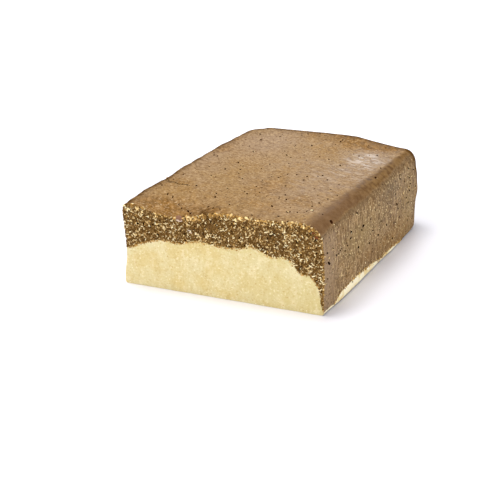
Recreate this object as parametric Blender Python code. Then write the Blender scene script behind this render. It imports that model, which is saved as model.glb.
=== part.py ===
"""Coconut candy: a block of dark, flaky nut and coconut mass over an ivory filling, cut at one end.

The loaf is a rounded box, open-ended towards -Y, whose walls, foot and top are bent by a few
named sizes.  The filling runs from the cut nearly to the back: it makes most of the underside and
shows on the left wall and as a thin strip along the foot of the right wall.  One oblique knife
plane trims both layers, roughly through the flaky mass and smoothly through the filling.

Units are metres, +Z is up, the cut end faces -Y, and the origin is the middle of the underside.
"""
import math

import bmesh
import bpy
import numpy as np
from mathutils import Matrix

# Overall size of the block
WIDTH = 0.1000
LENGTH = 0.1424
HEIGHT = 0.0456
HALF_WIDTH = WIDTH / 2
FRONT = -LENGTH / 2
BACK = LENGTH / 2
# The left side swells out more than the right: this moves the block's middle onto the origin
CENTRING = 0.0005

# The cut: its right end and its foot lie further back than its top left corner
CUT_SKEW = 0.0170
CUT_LEAN = 0.0037
OVERRUN = 0.006

# Corner radii in plan and edge radii in section
CORNER_LEFT = 0.0160
CORNER_RIGHT = 0.0062
TOP_EDGE_LEFT = 0.0035
TOP_EDGE_RIGHT = 0.0068
TOP_EDGE_BACK = 0.0035
FOOT_SIDE = 0.0010
FOOT_BACK = 0.0030
FOOT_BLEND = 0.012

# Walls: how far each leans in at the top, measured from the height of its belly
BELLY = 0.018
LEAN_RIGHT = 0.0016
LEAN_BACK = 0.0044
WAIST_LEFT = 0.0026
WAIST_HEIGHT = 0.0212
WAIST_EASE = 0.0002
# How far each side swells out along the block: distance behind the front, swell
SWELL_RIGHT = ((0.0000, -0.0010), (0.0300, -0.0003), (0.0650, 0.0006), (0.1420, 0.0005))
SWELL_LEFT = (
    (0.0000, 0.0009), (0.0300, 0.0009), (0.0440, 0.0008), (0.0560, 0.0013), (0.0750, 0.0017),
    (0.0930, 0.0021), (0.1040, 0.0008), (0.1420, 0.0000),
)

# Plan of the back end, which bows out most to the right of the middle
BOW = 0.0034
BOW_CENTRE = 0.015
BOW_HALF_SPAN = 0.042

# Broad hollows and swells of the top: x, distance behind the front, both radii, rise
HILLS = (
    (-0.033, 0.0030, 0.0080, 0.014, -0.0032),
    (-0.0225, 0.0045, 0.0080, 0.016, -0.0036),
    (-0.012, 0.0065, 0.0060, 0.013, -0.0026),
    (0.038, 0.0155, 0.0075, 0.016, 0.0013),
    (-0.045, 0.0025, 0.0060, 0.009, -0.0010),
    (0.006, 0.0805, 0.0260, 0.034, -0.0007),
    (0.004, 0.1390, 0.0260, 0.014, 0.0010),
)
# Slow waves of the skin: wave numbers across and along, phase, height
WAVES = (
    (70.0, 95.0, 0.4, 0.00022),
    (-150.0, 110.0, 1.9, 0.00014),
    (210.0, -190.0, 4.1, 0.00008),
)

# Filling: height of its upper face across the block, as the cut shows it
FILLING_TOP = (
    (-0.0600, 0.0190), (-0.0470, 0.0209), (-0.0390, 0.0246), (-0.0300, 0.0273),
    (-0.0200, 0.0270), (-0.0120, 0.0294), (0.0000, 0.0286), (0.0090, 0.0292),
    (0.0160, 0.0310), (0.0250, 0.0272), (0.0325, 0.0276), (0.0375, 0.0214),
    (0.0440, 0.0194), (0.0468, 0.0149),
)
FLANK_FOOT = 0.0482
FLANK_RISE = 0.0040
# Height of the strip that shows along the foot of the right wall: distance behind front, height
STRIP = (
    (0.0085, -0.0004), (0.0200, -0.0001), (0.0270, 0.0008), (0.0320, 0.0018), (0.0360, 0.0045),
    (0.0420, 0.0054), (0.0565, 0.0056), (0.0650, 0.0047), (0.0750, 0.0038), (0.0820, 0.0025),
    (0.1020, 0.0025), (0.1105, 0.0016), (0.1190, -0.0003), (0.1400, -0.0060),
)
# Height at which the filling leaves the left wall: distance behind front, height
LEFT_EDGE = (
    (0.0000, 0.0230), (0.0235, 0.0205), (0.0435, 0.0165), (0.0635, 0.0150),
    (0.0835, 0.0105), (0.1015, 0.0080), (0.1165, 0.0020), (0.1400, -0.0080),
)
LEFT_SLOPE = 1.1
BLEND = 0.0015
END_MARGIN = 0.0130
END_LENGTH = 0.0240
END_DROP = 0.0030

# Clearance between the two layers, and the roughness that the knife leaves on each: crumb size
# and depth, which grow along the top edge, where flakes break out
GAP = 0.0003
CRUMB_STEP = 0.00135
CRUMB_DEPTH = 0.00040
SMEAR_STEP = 0.0045
SMEAR_DEPTH = 0.00010
JITTER = 0.3
BREAK_BAND = 0.004
BREAK_GROWTH = 0.9

# Grid spacing of the loaf: fine in the rounded edges, growing to coarse between them
FINE = 0.0015
GROWTH = 1.25
EDGE_LINES = 5
COARSE = 0.0062
TOP_TURNS = (60, 75, 90)
WALL_SHARES = (0.84, 0.68, 0.52, 0.36, 0.20, 0.08, 0.0)
FOOT_TURNS = (30, 60, 90)

# Grid of the filling: even over the crown, close down the flank and at the rounded end
CROWN_EDGE = 0.0415
CROWN_LINES = 19
FLANK_LINES = (0.0435, 0.0450, 0.0460, 0.0468, 0.0475)
SKIRT_LINE = 0.0490
BODY_ROWS = 18
END_ROWS = 7

# How far cutters stand past what they cut
SLACK = 0.008


def smooth_step(value):
    """Ease from 0 to 1 as value goes from 0 to 1."""
    t = np.clip(value, 0.0, 1.0)
    return t * t * (3.0 - 2.0 * t)


def curve(points, at):
    """Smooth curve through (position, value) points, read at the given positions."""
    xs, ys = np.array(points).T
    slopes = np.gradient(ys, xs)
    at = np.clip(at, xs[0], xs[-1])
    i = np.clip(np.searchsorted(xs, at) - 1, 0, len(xs) - 2)
    span = xs[i + 1] - xs[i]
    t = (at - xs[i]) / span
    rise = (ys[i + 1] - ys[i]) * t * t * (3.0 - 2.0 * t)
    ends = slopes[i] * t * (1.0 - t) ** 2 - slopes[i + 1] * t * t * (1.0 - t)
    return ys[i] + rise + span * ends


def graded_lines(start, stop, fine_start=True, fine_stop=True):
    """Grid lines from start to stop, close together near an end that is rounded."""
    near = np.cumsum(FINE * GROWTH ** np.arange(EDGE_LINES))
    low = start + (np.append(0.0, near) if fine_start else np.zeros(1))
    high = stop - (np.append(near[::-1], 0.0) if fine_stop else np.zeros(1))
    count = max(1, round((high[0] - low[-1]) / COARSE))
    middle = np.linspace(low[-1], high[0], count + 1)[1:-1]
    return np.concatenate([low, middle, high])


def plan_point(x, y):
    """Round the plan's back corners.  Returns the point, its distance from the wall, the normal."""
    depths = np.stack([x + HALF_WIDTH, HALF_WIDTH - x, BACK - y])
    nearest = depths.argmin(axis=0)
    inset = depths.min(axis=0)
    nx = np.choose(nearest, [-1.0, 1.0, 0.0])
    ny = np.choose(nearest, [0.0, 0.0, 1.0])
    for side, radius in ((-1.0, CORNER_LEFT), (1.0, CORNER_RIGHT)):
        centre_x = side * (HALF_WIDTH - radius)
        centre_y = BACK - radius
        dx = (x - centre_x) * side
        dy = y - centre_y
        inside = (dx > 0) & (dy > 0)
        reach = np.where(inside, np.hypot(dx, dy), 1.0)
        longest = np.maximum(dx, dy)
        x = np.where(inside, centre_x + side * dx * longest / reach, x)
        y = np.where(inside, centre_y + dy * longest / reach, y)
        inset = np.where(inside, radius - longest, inset)
        nx = np.where(inside, side * dx / reach, nx)
        ny = np.where(inside, dy / reach, ny)
    return x, y, inset, nx, ny


def edge_radii(y, nx, ny):
    """Radius of the top edge and of the foot for a wall that faces (nx, ny)."""
    side = np.where(nx < 0, TOP_EDGE_LEFT, TOP_EDGE_RIGHT)
    top = side * nx ** 2 + TOP_EDGE_BACK * ny ** 2
    back = smooth_step((y - (BACK - FOOT_BLEND)) / FOOT_BLEND)
    return top, FOOT_SIDE + (FOOT_BACK - FOOT_SIDE) * back


def bend(x, y, z):
    """Bend the rounded box into the loaf: bellied walls, bowed back, uneven top."""
    above = np.clip((z - BELLY) / (HEIGHT - BELLY), 0.0, 1.0) ** 2
    left = np.clip(-x / HALF_WIDTH, 0.0, 1.0)
    right = np.clip(x / HALF_WIDTH, 0.0, 1.0)
    back = np.clip(y / BACK, 0.0, 1.0)
    below_waist = smooth_step(z / WAIST_HEIGHT)
    above_waist = smooth_step((z - WAIST_HEIGHT) / (HEIGHT - WAIST_HEIGHT))
    waist = WAIST_LEFT * below_waist - WAIST_EASE * above_waist
    bow = BOW * ((x - BOW_CENTRE) / BOW_HALF_SPAN) ** 2
    behind = y - FRONT
    rise = 0.0
    for hill_x, hill_y, radius_x, radius_y, height in HILLS:
        away = ((x - hill_x) / radius_x) ** 2 + ((behind - hill_y) / radius_y) ** 2
        rise += height * np.exp(-away)
    ripple_x = 0.0
    ripple_y = 0.0
    for across, along, phase, height in WAVES:
        rise += height * np.sin(across * x + along * y + phase)
        ripple_x += height * np.sin(across * z + along * y + phase)
        ripple_y += height * np.sin(across * x + along * z + phase)
    upper = smooth_step(2.0 * z / HEIGHT - 1.0)
    x = x + left * (waist + ripple_x - curve(SWELL_LEFT, behind))
    x = x + right * (curve(SWELL_RIGHT, behind) - LEAN_RIGHT * above - ripple_x)
    y = y - back * (LEAN_BACK * above + ripple_y) - back ** 2 * bow
    return x, y, z + upper * rise


def loaf_mesh():
    """The uncut loaf: rounded top grid, wall rows below it, flat foot and flat front end."""
    xs = graded_lines(-HALF_WIDTH, HALF_WIDTH)
    ys = graded_lines(FRONT - OVERRUN, BACK, fine_start=False)
    columns, rows = len(xs), len(ys)
    grid_x, grid_y = np.meshgrid(xs, ys)
    x, y, inset, nx, ny = plan_point(grid_x, grid_y)
    radius, foot = edge_radii(y, nx, ny)
    angle = np.arctan(np.clip((radius - inset) / radius, 0.0, None))
    rounded = inset < radius
    pull = np.where(rounded, radius * (1.0 - np.sin(angle)) - inset, 0.0)
    top_z = np.where(rounded, HEIGHT - radius * (1.0 - np.cos(angle)), HEIGHT)
    top = np.stack(bend(x - pull * nx, y - pull * ny, top_z), axis=-1)

    # The wall follows the grid's rim: up the left side, across the back, down the right side
    rim = [(r, 0) for r in range(rows)]
    rim += [(rows - 1, c) for c in range(1, columns)]
    rim += [(r, columns - 1) for r in range(rows - 2, -1, -1)]
    pick = tuple(np.array(rim).T)
    wall_x, wall_y, wall_nx, wall_ny = x[pick], y[pick], nx[pick], ny[pick]
    wall_r, wall_f = radius[pick], foot[pick]
    levels = []
    for turn in np.radians(TOP_TURNS):
        levels.append((wall_r * (1 - math.sin(turn)), HEIGHT - wall_r * (1 - math.cos(turn))))
    for share in WALL_SHARES:
        levels.append((np.zeros(len(rim)), wall_f + share * (HEIGHT - wall_r - wall_f)))
    for turn in np.radians(FOOT_TURNS):
        levels.append((wall_f * (1 - math.cos(turn)), wall_f * (1 - math.sin(turn))))

    mesh = bmesh.new()
    top_verts = [[mesh.verts.new(point) for point in row] for row in top]
    for r in range(rows - 1):
        for c in range(columns - 1):
            mesh.faces.new((top_verts[r][c], top_verts[r][c + 1],
                            top_verts[r + 1][c + 1], top_verts[r + 1][c]))
    wall_rows = [[top_verts[r][c] for r, c in rim]]
    for pull, z in levels:
        points = np.stack(bend(wall_x - pull * wall_nx, wall_y - pull * wall_ny, z), axis=-1)
        points[:, 2] = np.maximum(points[:, 2], 0.0)
        wall_rows.append([mesh.verts.new(point) for point in points])
    for upper, lower in zip(wall_rows, wall_rows[1:]):
        for k in range(len(rim) - 1):
            mesh.faces.new((upper[k], upper[k + 1], lower[k + 1], lower[k]))
    mesh.faces.new(wall_rows[-1])
    left_end = [row[0] for row in reversed(wall_rows[1:])]
    right_end = [row[-1] for row in wall_rows[1:]]
    mesh.faces.new(left_end + top_verts[0] + right_end)
    return mesh


def slab_mesh(points, axis, base):
    """Closed solid between a grid of points and the plane where the given axis equals base."""
    mesh = bmesh.new()
    face = [[mesh.verts.new(point) for point in row] for row in points]
    corners = points[::len(points) - 1, ::points.shape[1] - 1].copy()
    corners[..., axis] = base
    low = [[mesh.verts.new(point) for point in row] for row in corners]
    for upper, lower in zip(face, face[1:]):
        for i in range(len(upper) - 1):
            mesh.faces.new((upper[i], upper[i + 1], lower[i + 1], lower[i]))
    mesh.faces.new((low[0][0], low[1][0], low[1][1], low[0][1]))
    mesh.faces.new(face[0][::-1] + [low[0][0], low[0][1]])
    mesh.faces.new(face[-1] + [low[1][1], low[1][0]])
    mesh.faces.new([row[0] for row in face] + [low[1][0], low[0][0]])
    mesh.faces.new([row[-1] for row in reversed(face)] + [low[0][1], low[1][1]])
    return mesh


def filling_height(x, y):
    """Upper face of the filling: its crown, the steep right flank, and the skirt beside the wall."""
    behind = y - FRONT
    strip = curve(STRIP, behind)
    flank_top, flank_height = FILLING_TOP[-1]
    share = (x - flank_top) / (FLANK_FOOT - flank_top)
    flank = flank_height + (strip + FLANK_RISE - flank_height) * share
    skirt = strip + FLANK_RISE * np.maximum(HALF_WIDTH - x, 0.0) / (HALF_WIDTH - FLANK_FOOT)
    height = np.where(x < FLANK_FOOT, flank, skirt)
    height = np.where(x < flank_top, curve(FILLING_TOP, x), height)
    left = curve(LEFT_EDGE, behind) + LEFT_SLOPE * (x + HALF_WIDTH)
    height = -BLEND * np.logaddexp(-height / BLEND, -left / BLEND)
    past = np.clip((y - (BACK - END_MARGIN - END_LENGTH)) / END_LENGTH, 0.0, 1.0)
    end = np.sqrt(1.0 - past ** 2)
    return height * end - END_DROP * (1.0 - end)


def filling_mesh(offset):
    """The filling's envelope, moved out by offset, standing past the walls, foot and cut."""
    crown = np.linspace(-HALF_WIDTH, CROWN_EDGE, CROWN_LINES)
    xs = np.array([-HALF_WIDTH - SLACK, *crown, *FLANK_LINES, FLANK_FOOT, SKIRT_LINE, HALF_WIDTH,
                   HALF_WIDTH + SLACK / 2])
    rounds = np.sin(np.linspace(0.0, math.pi / 2, END_ROWS))
    end = BACK - END_MARGIN - END_LENGTH * (1.0 - rounds)
    ys = np.concatenate([np.linspace(FRONT - SLACK, end[0], BODY_ROWS)[:-1], end])
    grid_x, grid_y = np.meshgrid(xs, ys)
    points = np.stack([grid_x, grid_y, filling_height(grid_x, grid_y)], axis=-1)
    normals = np.cross(np.gradient(points, axis=1), np.gradient(points, axis=0))
    normals /= np.linalg.norm(normals, axis=-1, keepdims=True)
    return slab_mesh(points + offset * normals, 2, -SLACK)


def knife_mesh(step, depth, seed):
    """What the knife takes away: all that lies in front of the rough, leaning cut."""
    xs = np.linspace(HALF_WIDTH + SLACK, -HALF_WIDTH - SLACK, round((WIDTH + 2 * SLACK) / step))
    zs = np.linspace(-SLACK, HEIGHT + SLACK, round((HEIGHT + 2 * SLACK) / step))
    x, z = np.meshgrid(xs, zs)
    draw = np.random.default_rng(seed)
    x[1:-1, 1:-1] += draw.uniform(-JITTER, JITTER, x[1:-1, 1:-1].shape) * step
    z[1:-1, 1:-1] += draw.uniform(-JITTER, JITTER, z[1:-1, 1:-1].shape) * step
    rough = draw.normal(0.0, depth, x.shape).clip(-2.0 * depth, 2.0 * depth)
    rough *= 1.0 + BREAK_GROWTH * smooth_step((z - HEIGHT + BREAK_BAND) / BREAK_BAND)
    skew = CUT_SKEW * (x + HALF_WIDTH) / WIDTH
    lean = CUT_LEAN * (1.0 - z / HEIGHT)
    return slab_mesh(np.stack([x, FRONT + skew + lean + rough, z], axis=-1), 1, FRONT - 2 * SLACK)


def add_object(name, mesh, cutter=False):
    """Turn a bmesh into a scene object.  Cutters are guides that aren't part of the candy."""
    bmesh.ops.recalc_face_normals(mesh, faces=mesh.faces)
    data = bpy.data.meshes.new(name)
    mesh.to_mesh(data)
    mesh.free()
    data.transform(Matrix.Translation((CENTRING, 0.0, 0.0)))
    data.shade_smooth()
    piece = bpy.data.objects.new(name, data)
    bpy.context.scene.collection.objects.link(piece)
    if cutter:
        piece.hide_render = True
        piece.display_type = 'WIRE'
    return piece


def cut(piece, operation, tool):
    """Add an exact Boolean modifier."""
    modifier = piece.modifiers.new(tool.name, 'BOOLEAN')
    modifier.operation = operation
    modifier.solver = 'EXACT'
    modifier.object = tool


def add_material(piece, name, colour, roughness):
    """Give a piece its own Principled material."""
    material = bpy.data.materials.new(name)
    material.use_nodes = True
    shader = material.node_tree.nodes["Principled BSDF"]
    shader.inputs["Base Color"].default_value = (*colour, 1.0)
    shader.inputs["Roughness"].default_value = roughness
    shader.inputs["Metallic"].default_value = 0.0
    piece.data.materials.append(material)


def make_nut_mass():
    """The dark outer mass: the loaf less the filling and less what was cut away."""
    mass = add_object("nut_mass", loaf_mesh())
    cut(mass, 'DIFFERENCE', add_object("filling_space", filling_mesh(GAP / 2), cutter=True))
    knife = add_object("knife_in_mass", knife_mesh(CRUMB_STEP, CRUMB_DEPTH, seed=7), cutter=True)
    cut(mass, 'DIFFERENCE', knife)
    add_material(mass, "nut_mass", (0.33, 0.20, 0.10), 0.55)


def make_ivory_filling():
    """The pale filling: what the loaf and the filling's envelope share, less the cut."""
    filling = add_object("ivory_filling", loaf_mesh())
    cut(filling, 'INTERSECT', add_object("filling_form", filling_mesh(-GAP / 2), cutter=True))
    knife = add_object("knife_in_filling", knife_mesh(SMEAR_STEP, SMEAR_DEPTH, seed=11), cutter=True)
    cut(filling, 'DIFFERENCE', knife)
    add_material(filling, "ivory_filling", (0.86, 0.72, 0.38), 0.6)


def main():
    """Clear the scene and build both layers."""
    for old in list(bpy.data.objects):
        bpy.data.objects.remove(old, do_unlink=True)
    make_nut_mass()
    make_ivory_filling()


main()
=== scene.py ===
"""Looks of the coconut candy block: skin, flaky cut, ivory filling, flakes, light and camera.

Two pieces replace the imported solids.  Both start from the same loaf and the same boundary
between the layers as the source model, on finer grids and with the small relief that only
shows close up.  Loose flakes and crumbs are scattered over the cut.

Units are metres, +Z is up, the cut end faces -Y, and the origin is the middle of the underside.
"""

import itertools
import math

import bmesh
import bpy
import numpy as np
from mathutils import Matrix, Vector
from mathutils.bvhtree import BVHTree
from mathutils.kdtree import KDTree


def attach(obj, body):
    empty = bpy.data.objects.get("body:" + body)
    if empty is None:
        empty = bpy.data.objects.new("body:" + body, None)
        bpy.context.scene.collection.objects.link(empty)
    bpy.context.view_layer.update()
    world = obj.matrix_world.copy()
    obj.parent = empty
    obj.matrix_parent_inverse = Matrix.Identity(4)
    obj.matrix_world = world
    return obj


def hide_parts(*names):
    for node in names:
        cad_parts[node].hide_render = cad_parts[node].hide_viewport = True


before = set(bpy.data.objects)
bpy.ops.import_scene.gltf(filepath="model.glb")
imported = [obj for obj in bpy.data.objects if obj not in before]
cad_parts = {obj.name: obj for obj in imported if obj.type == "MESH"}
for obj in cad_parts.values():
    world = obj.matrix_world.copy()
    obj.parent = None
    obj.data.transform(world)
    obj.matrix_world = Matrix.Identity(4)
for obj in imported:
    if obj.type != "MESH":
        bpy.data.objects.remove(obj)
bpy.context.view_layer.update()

# Overall size of the block
WIDTH = 0.1000
LENGTH = 0.1424
HEIGHT = 0.0456
HALF_WIDTH = WIDTH / 2
FRONT = -LENGTH / 2
BACK = LENGTH / 2
# The left side swells out more than the right: this moves the block's middle onto the origin
CENTRING = 0.0005

# The cut: its right end and its foot lie further back than its top left corner
CUT_SKEW = 0.0170
CUT_LEAN = 0.0037
OVERRUN = 0.004

# Corner radii in plan and edge radii in section
CORNER_LEFT = 0.0160
CORNER_RIGHT = 0.0062
TOP_EDGE_LEFT = 0.0035
TOP_EDGE_RIGHT = 0.0068
TOP_EDGE_BACK = 0.0035
FOOT_SIDE = 0.0010
FOOT_BACK = 0.0030
FOOT_BLEND = 0.012

# Walls: how far each leans in at the top, measured from the height of its belly
BELLY = 0.018
LEAN_RIGHT = 0.0016
LEAN_BACK = 0.0044
WAIST_LEFT = 0.0026
WAIST_HEIGHT = 0.0212
WAIST_EASE = 0.0002
SWELL_RIGHT = ((0.0000, -0.0010), (0.0300, -0.0003), (0.0650, 0.0006), (0.1420, 0.0005))
SWELL_LEFT = (
    (0.0000, 0.0009), (0.0300, 0.0009), (0.0440, 0.0008), (0.0560, 0.0013), (0.0750, 0.0017),
    (0.0930, 0.0021), (0.1040, 0.0008), (0.1420, 0.0000),
)
BOW = 0.0034
BOW_CENTRE = 0.015
BOW_HALF_SPAN = 0.042

# Broad hollows and swells of the top: x, distance behind the front, both radii, rise
HILLS = (
    (-0.033, 0.0030, 0.0080, 0.014, -0.0032),
    (-0.0225, 0.0045, 0.0080, 0.016, -0.0036),
    (-0.012, 0.0065, 0.0060, 0.013, -0.0026),
    (0.038, 0.0155, 0.0075, 0.016, 0.0013),
    (-0.045, 0.0025, 0.0060, 0.009, -0.0010),
    (0.006, 0.0805, 0.0260, 0.034, -0.0007),
    (0.004, 0.1390, 0.0260, 0.014, 0.0010),
)
# Slow waves of the skin: wave numbers across and along, phase, height
WAVES = (
    (70.0, 95.0, 0.4, 0.00022),
    (-150.0, 110.0, 1.9, 0.00014),
    (210.0, -190.0, 4.1, 0.00008),
)

# Filling: height of its upper face across the block, as the cut shows it
FILLING_TOP = (
    (-0.0600, 0.0190), (-0.0470, 0.0209), (-0.0390, 0.0246), (-0.0300, 0.0273),
    (-0.0200, 0.0270), (-0.0120, 0.0294), (0.0000, 0.0286), (0.0090, 0.0292),
    (0.0160, 0.0310), (0.0250, 0.0272), (0.0325, 0.0276), (0.0375, 0.0214),
    (0.0440, 0.0194), (0.0468, 0.0149),
)
FLANK_FOOT = 0.0482
FLANK_RISE = 0.0040
STRIP = (
    (0.0085, -0.0004), (0.0200, -0.0001), (0.0270, 0.0008), (0.0320, 0.0018), (0.0360, 0.0045),
    (0.0420, 0.0054), (0.0565, 0.0056), (0.0650, 0.0047), (0.0750, 0.0038), (0.0820, 0.0025),
    (0.1020, 0.0025), (0.1105, 0.0016), (0.1190, -0.0003), (0.1400, -0.0060),
)
LEFT_EDGE = (
    (0.0000, 0.0230), (0.0235, 0.0205), (0.0435, 0.0165), (0.0635, 0.0150),
    (0.0835, 0.0105), (0.1015, 0.0080), (0.1165, 0.0020), (0.1400, -0.0080),
)
LEFT_SLOPE = 1.1
BLEND = 0.0015
END_MARGIN = 0.0130
END_LENGTH = 0.0240
END_DROP = 0.0030
SLACK = 0.008

# Grid of the fine loaf: spacing in the rounded edges, growth, spacing between them
FINE = 0.0004
GROWTH = 1.14
COARSE = 0.0009
TOP_TURNS = tuple(range(50, 91, 5))
WALL_ROWS = 42
FOOT_TURNS = (15, 30, 45, 60, 75, 90)

# Grid of the boundary between the layers: across, along near the cut, along further back
BORDER_STEP = 0.0005
BORDER_NEAR = 0.0009
BORDER_FAR = 0.0026
BORDER_REACH = 0.026
END_ROWS = 9

# The rims: tilts of the skin at which they start and end, and over which they fade, in degrees
RIM_START = 12.0
RIM_END = 65.0
RIM_FADE = 25.0
# Small relief of the skin, of its left and back rims, and of the boundary: feature size, height
SKIN_RELIEF = ((0.0110, 0.00012), (0.0048, 0.00007), (0.0021, 0.00003))
RIM_RELIEF = ((0.0065, 0.00030), (0.0024, 0.00014))
BORDER_RELIEF = ((0.0060, 0.00028), (0.0026, 0.00022), (0.0012, 0.00016))
# How far the filling stands into the mass, how far its outside lies below the skin, and the x past
# which it comes out at the foot of the right wall
TUCK = 0.00006
SETBACK = 0.00010
OUTER_STRIP = 0.04

# Notches in the edges: place, radius, depth (below zero: a bump)
NOTCHES = (
    ((-0.0485, -0.0700, 0.0440), 0.0030, 0.0007),
    ((0.0490, 0.0660, 0.0370), 0.0030, 0.0007),
    ((0.0490, 0.0660, 0.0225), 0.0040, -0.0006),
    ((-0.0475, -0.0370, 0.0440), 0.0016, 0.0006),
    ((-0.0470, -0.0120, 0.0445), 0.0013, 0.0005),
    ((-0.0465, 0.0160, 0.0445), 0.0018, 0.0005),
    ((-0.0462, 0.0215, 0.0445), 0.0012, 0.0004),
    ((-0.0400, 0.0560, 0.0445), 0.0016, 0.0004),
    ((-0.0340, 0.0610, 0.0445), 0.0013, 0.0004),
    ((0.0440, 0.0600, 0.0440), 0.0015, 0.0004),
)

# The knife's marks: grid in the mass and in the filling, and how far it stands past the cut
KNIFE_STEP = 0.00026
SMEAR_STEP = 0.0006
KNIFE_MARGIN = 0.002
# Crumbs as cell size, height, tilt, crevice depth and width
CRUMBS = ((0.00150, 0.00022, 0.20, 0.00014, 0.00020), (0.00068, 0.00009, 0.16, 0.00007, 0.00012))
# Share of crumbs that are in place, and depth of the others' holes compared with their size
CRUMB_SHARE = 0.970
HOLE_DEPTH = 7 / 15
# The cut is rougher in a band under its top edge: height of the band, growth of the relief
BREAK_BAND = 0.0030
BREAK_GROWTH = 0.8
SMEAR_RELIEF = ((0.0060, 0.00010), (0.0018, 0.00004), (0.0007, 0.00002))
SMEAR_STRETCH = (1.0, 1.0, 2.6)
CUT_NORMAL = np.array([CUT_SKEW / WIDTH, -1.0, -CUT_LEAN / HEIGHT])
CUT_NORMAL /= np.linalg.norm(CUT_NORMAL)
# How far outside the block the rays start that find places on it
AWAY = 0.02

# Pores that stand out: x, y, radius on top, and y, z, radius on the right wall
TOP_PORES = (
    (0.0345, -0.0280, 0.0005), (0.0340, -0.0400, 0.0005), (0.0220, 0.0235, 0.0006),
    (0.0205, 0.0055, 0.0006), (0.0170, -0.0420, 0.0006), (0.0250, -0.0510, 0.0006),
    (-0.0180, -0.0598, 0.0006), (-0.0157, -0.0613, 0.0005), (-0.0345, -0.0520, 0.0005),
    (-0.0310, -0.0530, 0.0004), (-0.0120, -0.0335, 0.0005), (-0.0015, -0.0235, 0.0005),
    (-0.0320, 0.0370, 0.0006), (-0.0260, 0.0015, 0.0005), (0.0160, -0.0265, 0.0005),
    (-0.0120, -0.0450, 0.0005), (0.0085, 0.0005, 0.0005), (0.0130, 0.0290, 0.0005),
    (0.0468, -0.0409, 0.0012), (0.0445, 0.0166, 0.0008),
)
WALL_PORES = (
    (0.0335, 0.0255, 0.0008), (-0.0165, 0.0390, 0.0007), (-0.0095, 0.0300, 0.0007),
    (-0.0115, 0.0285, 0.0006), (0.0200, 0.0190, 0.0007), (-0.0235, 0.0320, 0.0007),
    (-0.0240, 0.0290, 0.0006), (-0.0020, 0.0177, 0.0007), (-0.0155, 0.0210, 0.0006),
    (-0.0480, 0.0263, 0.0008), (-0.0495, 0.0320, 0.0006), (0.0475, 0.0240, 0.0006),
)
# Fields of pores: those listed one by one, how many others, the corners between which they lie,
# the axis and the side that the field faces.  The top, then the right, left and back walls
PORE_FIELDS = (
    (TOP_PORES, 125, (-0.046, -0.064), (0.043, 0.064), 2, 1),
    (WALL_PORES, 80, (-0.050, 0.007), (0.062, 0.040), 0, 1),
    ((), 60, (-0.066, 0.012), (0.054, 0.043), 0, -1),
    ((), 60, (-0.036, 0.009), (0.043, 0.041), 1, 1),
)
# Where the rays that find a field start on its axis
PORE_RAYS = (HALF_WIDTH + AWAY, BACK + AWAY, HALF_WIDTH + AWAY)
PORE_RADII = (0.00028, 0.00058)
PORE_GAP = 0.0012
# How much longer than wide the pores are, and which way their length turns
PORE_LENGTH = 1.8
PORE_TURN = 0.5
# Pits that the knife left: how many, how far to each side, radii, and how far below the top the
# upper half and the lower half of them lie
PIT_COUNT = 110
PIT_REACH = 0.047
PIT_RADII = (0.00028, 0.00058)
PIT_DEPTHS = ((0.0008, 0.0040), (0.004, 0.018))
# Crack near the top left edge: its points, how many small hollows make it, their radius, and how
# much wider or narrower it is at its ends and wavers
CRACK = ((-0.0458, -0.0366), (-0.0430, -0.0394), (-0.0365, -0.0398), (-0.0300, -0.0392))
CRACK_STEPS = 56
CRACK_RADIUS = 0.00048
CRACK_TAPER = (1.4, 0.8)
CRACK_WAVER = 0.00012
# Golden chips that stand up at the crack's left end, as x, y, radius and tint
CRACK_CHIPS = (
    (-0.0462, -0.0350, 0.0009, 0.52), (-0.0455, -0.0360, 0.0010, 0.45),
    (-0.0447, -0.0371, 0.0008, 0.60), (-0.0436, -0.0380, 0.0006, 0.50),
    (-0.0420, -0.0392, 0.0005, 0.42),
)
# Pale specks beside the pores, partly coconut and partly painted highlight on the pores' raised rims:
# share of pores that have one, size
SPECK_SHARE = 0.40
SPECK_SIZE = 0.00030

# Golden rind that the cut shows under the skin: width below the top, beside the wall
RIND_TOP = 0.0020
RIND_SIDE = 0.0008
RIND_TURN = (0.0430, 0.0480)
# How far the skin breaks up into golden crumbs along the top of the cut: x, share
FRINGE = (
    (-0.0500, 0.00), (-0.0455, 0.15), (-0.0395, 0.25), (-0.0330, 0.20), (-0.0240, 0.25),
    (-0.0180, 0.80), (-0.0060, 0.90), (0.0060, 1.00), (0.0180, 0.55), (0.0300, 0.45),
    (0.0360, 1.00), (0.0480, 1.00),
)
# The rounded right shoulder carries painted shade, a darker brown band: y, where it starts, is fully
# shaded and ends, measured over the edge from where the top begins to turn down
SHOULDER_SHADE = (
    (-0.0600, -0.0072, 0.0008, 0.0085), (-0.0370, -0.0076, 0.0000, 0.0075),
    (0.0020, -0.0038, 0.0000, 0.0080), (0.0450, -0.0010, 0.0015, 0.0052),
    (0.0700, 0.0000, 0.0020, 0.0040),
)
SHOULDER_FADE = 0.0024
SHOULDER_WAVE = 0.0011
# How far the dark rims reach in, on the left and at the back, and between which y this changes; the rims
# are partly browner skin and partly painted shade
RIM_WIDTHS = (0.0027, 0.0042)
RIM_CHANGE = (0.045, 0.060)
RIM_SPREAD = 3.0
# Painted shade on the back right corner, where the wall turns away: how far it reaches, the height below
# which it is fainter, how faint, and over which height it fades
CORNER_SHADE_WIDTH = 0.0034
CORNER_SHADE_LOW = 0.026
CORNER_SHADE_FAINT = 0.4
CORNER_SHADE_FADE = 0.004

# The uneven line between the top, the shoulder and the wall: feature size, strength
UNEVEN = ((0.0055, 1.0), (0.0022, 0.6))
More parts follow.
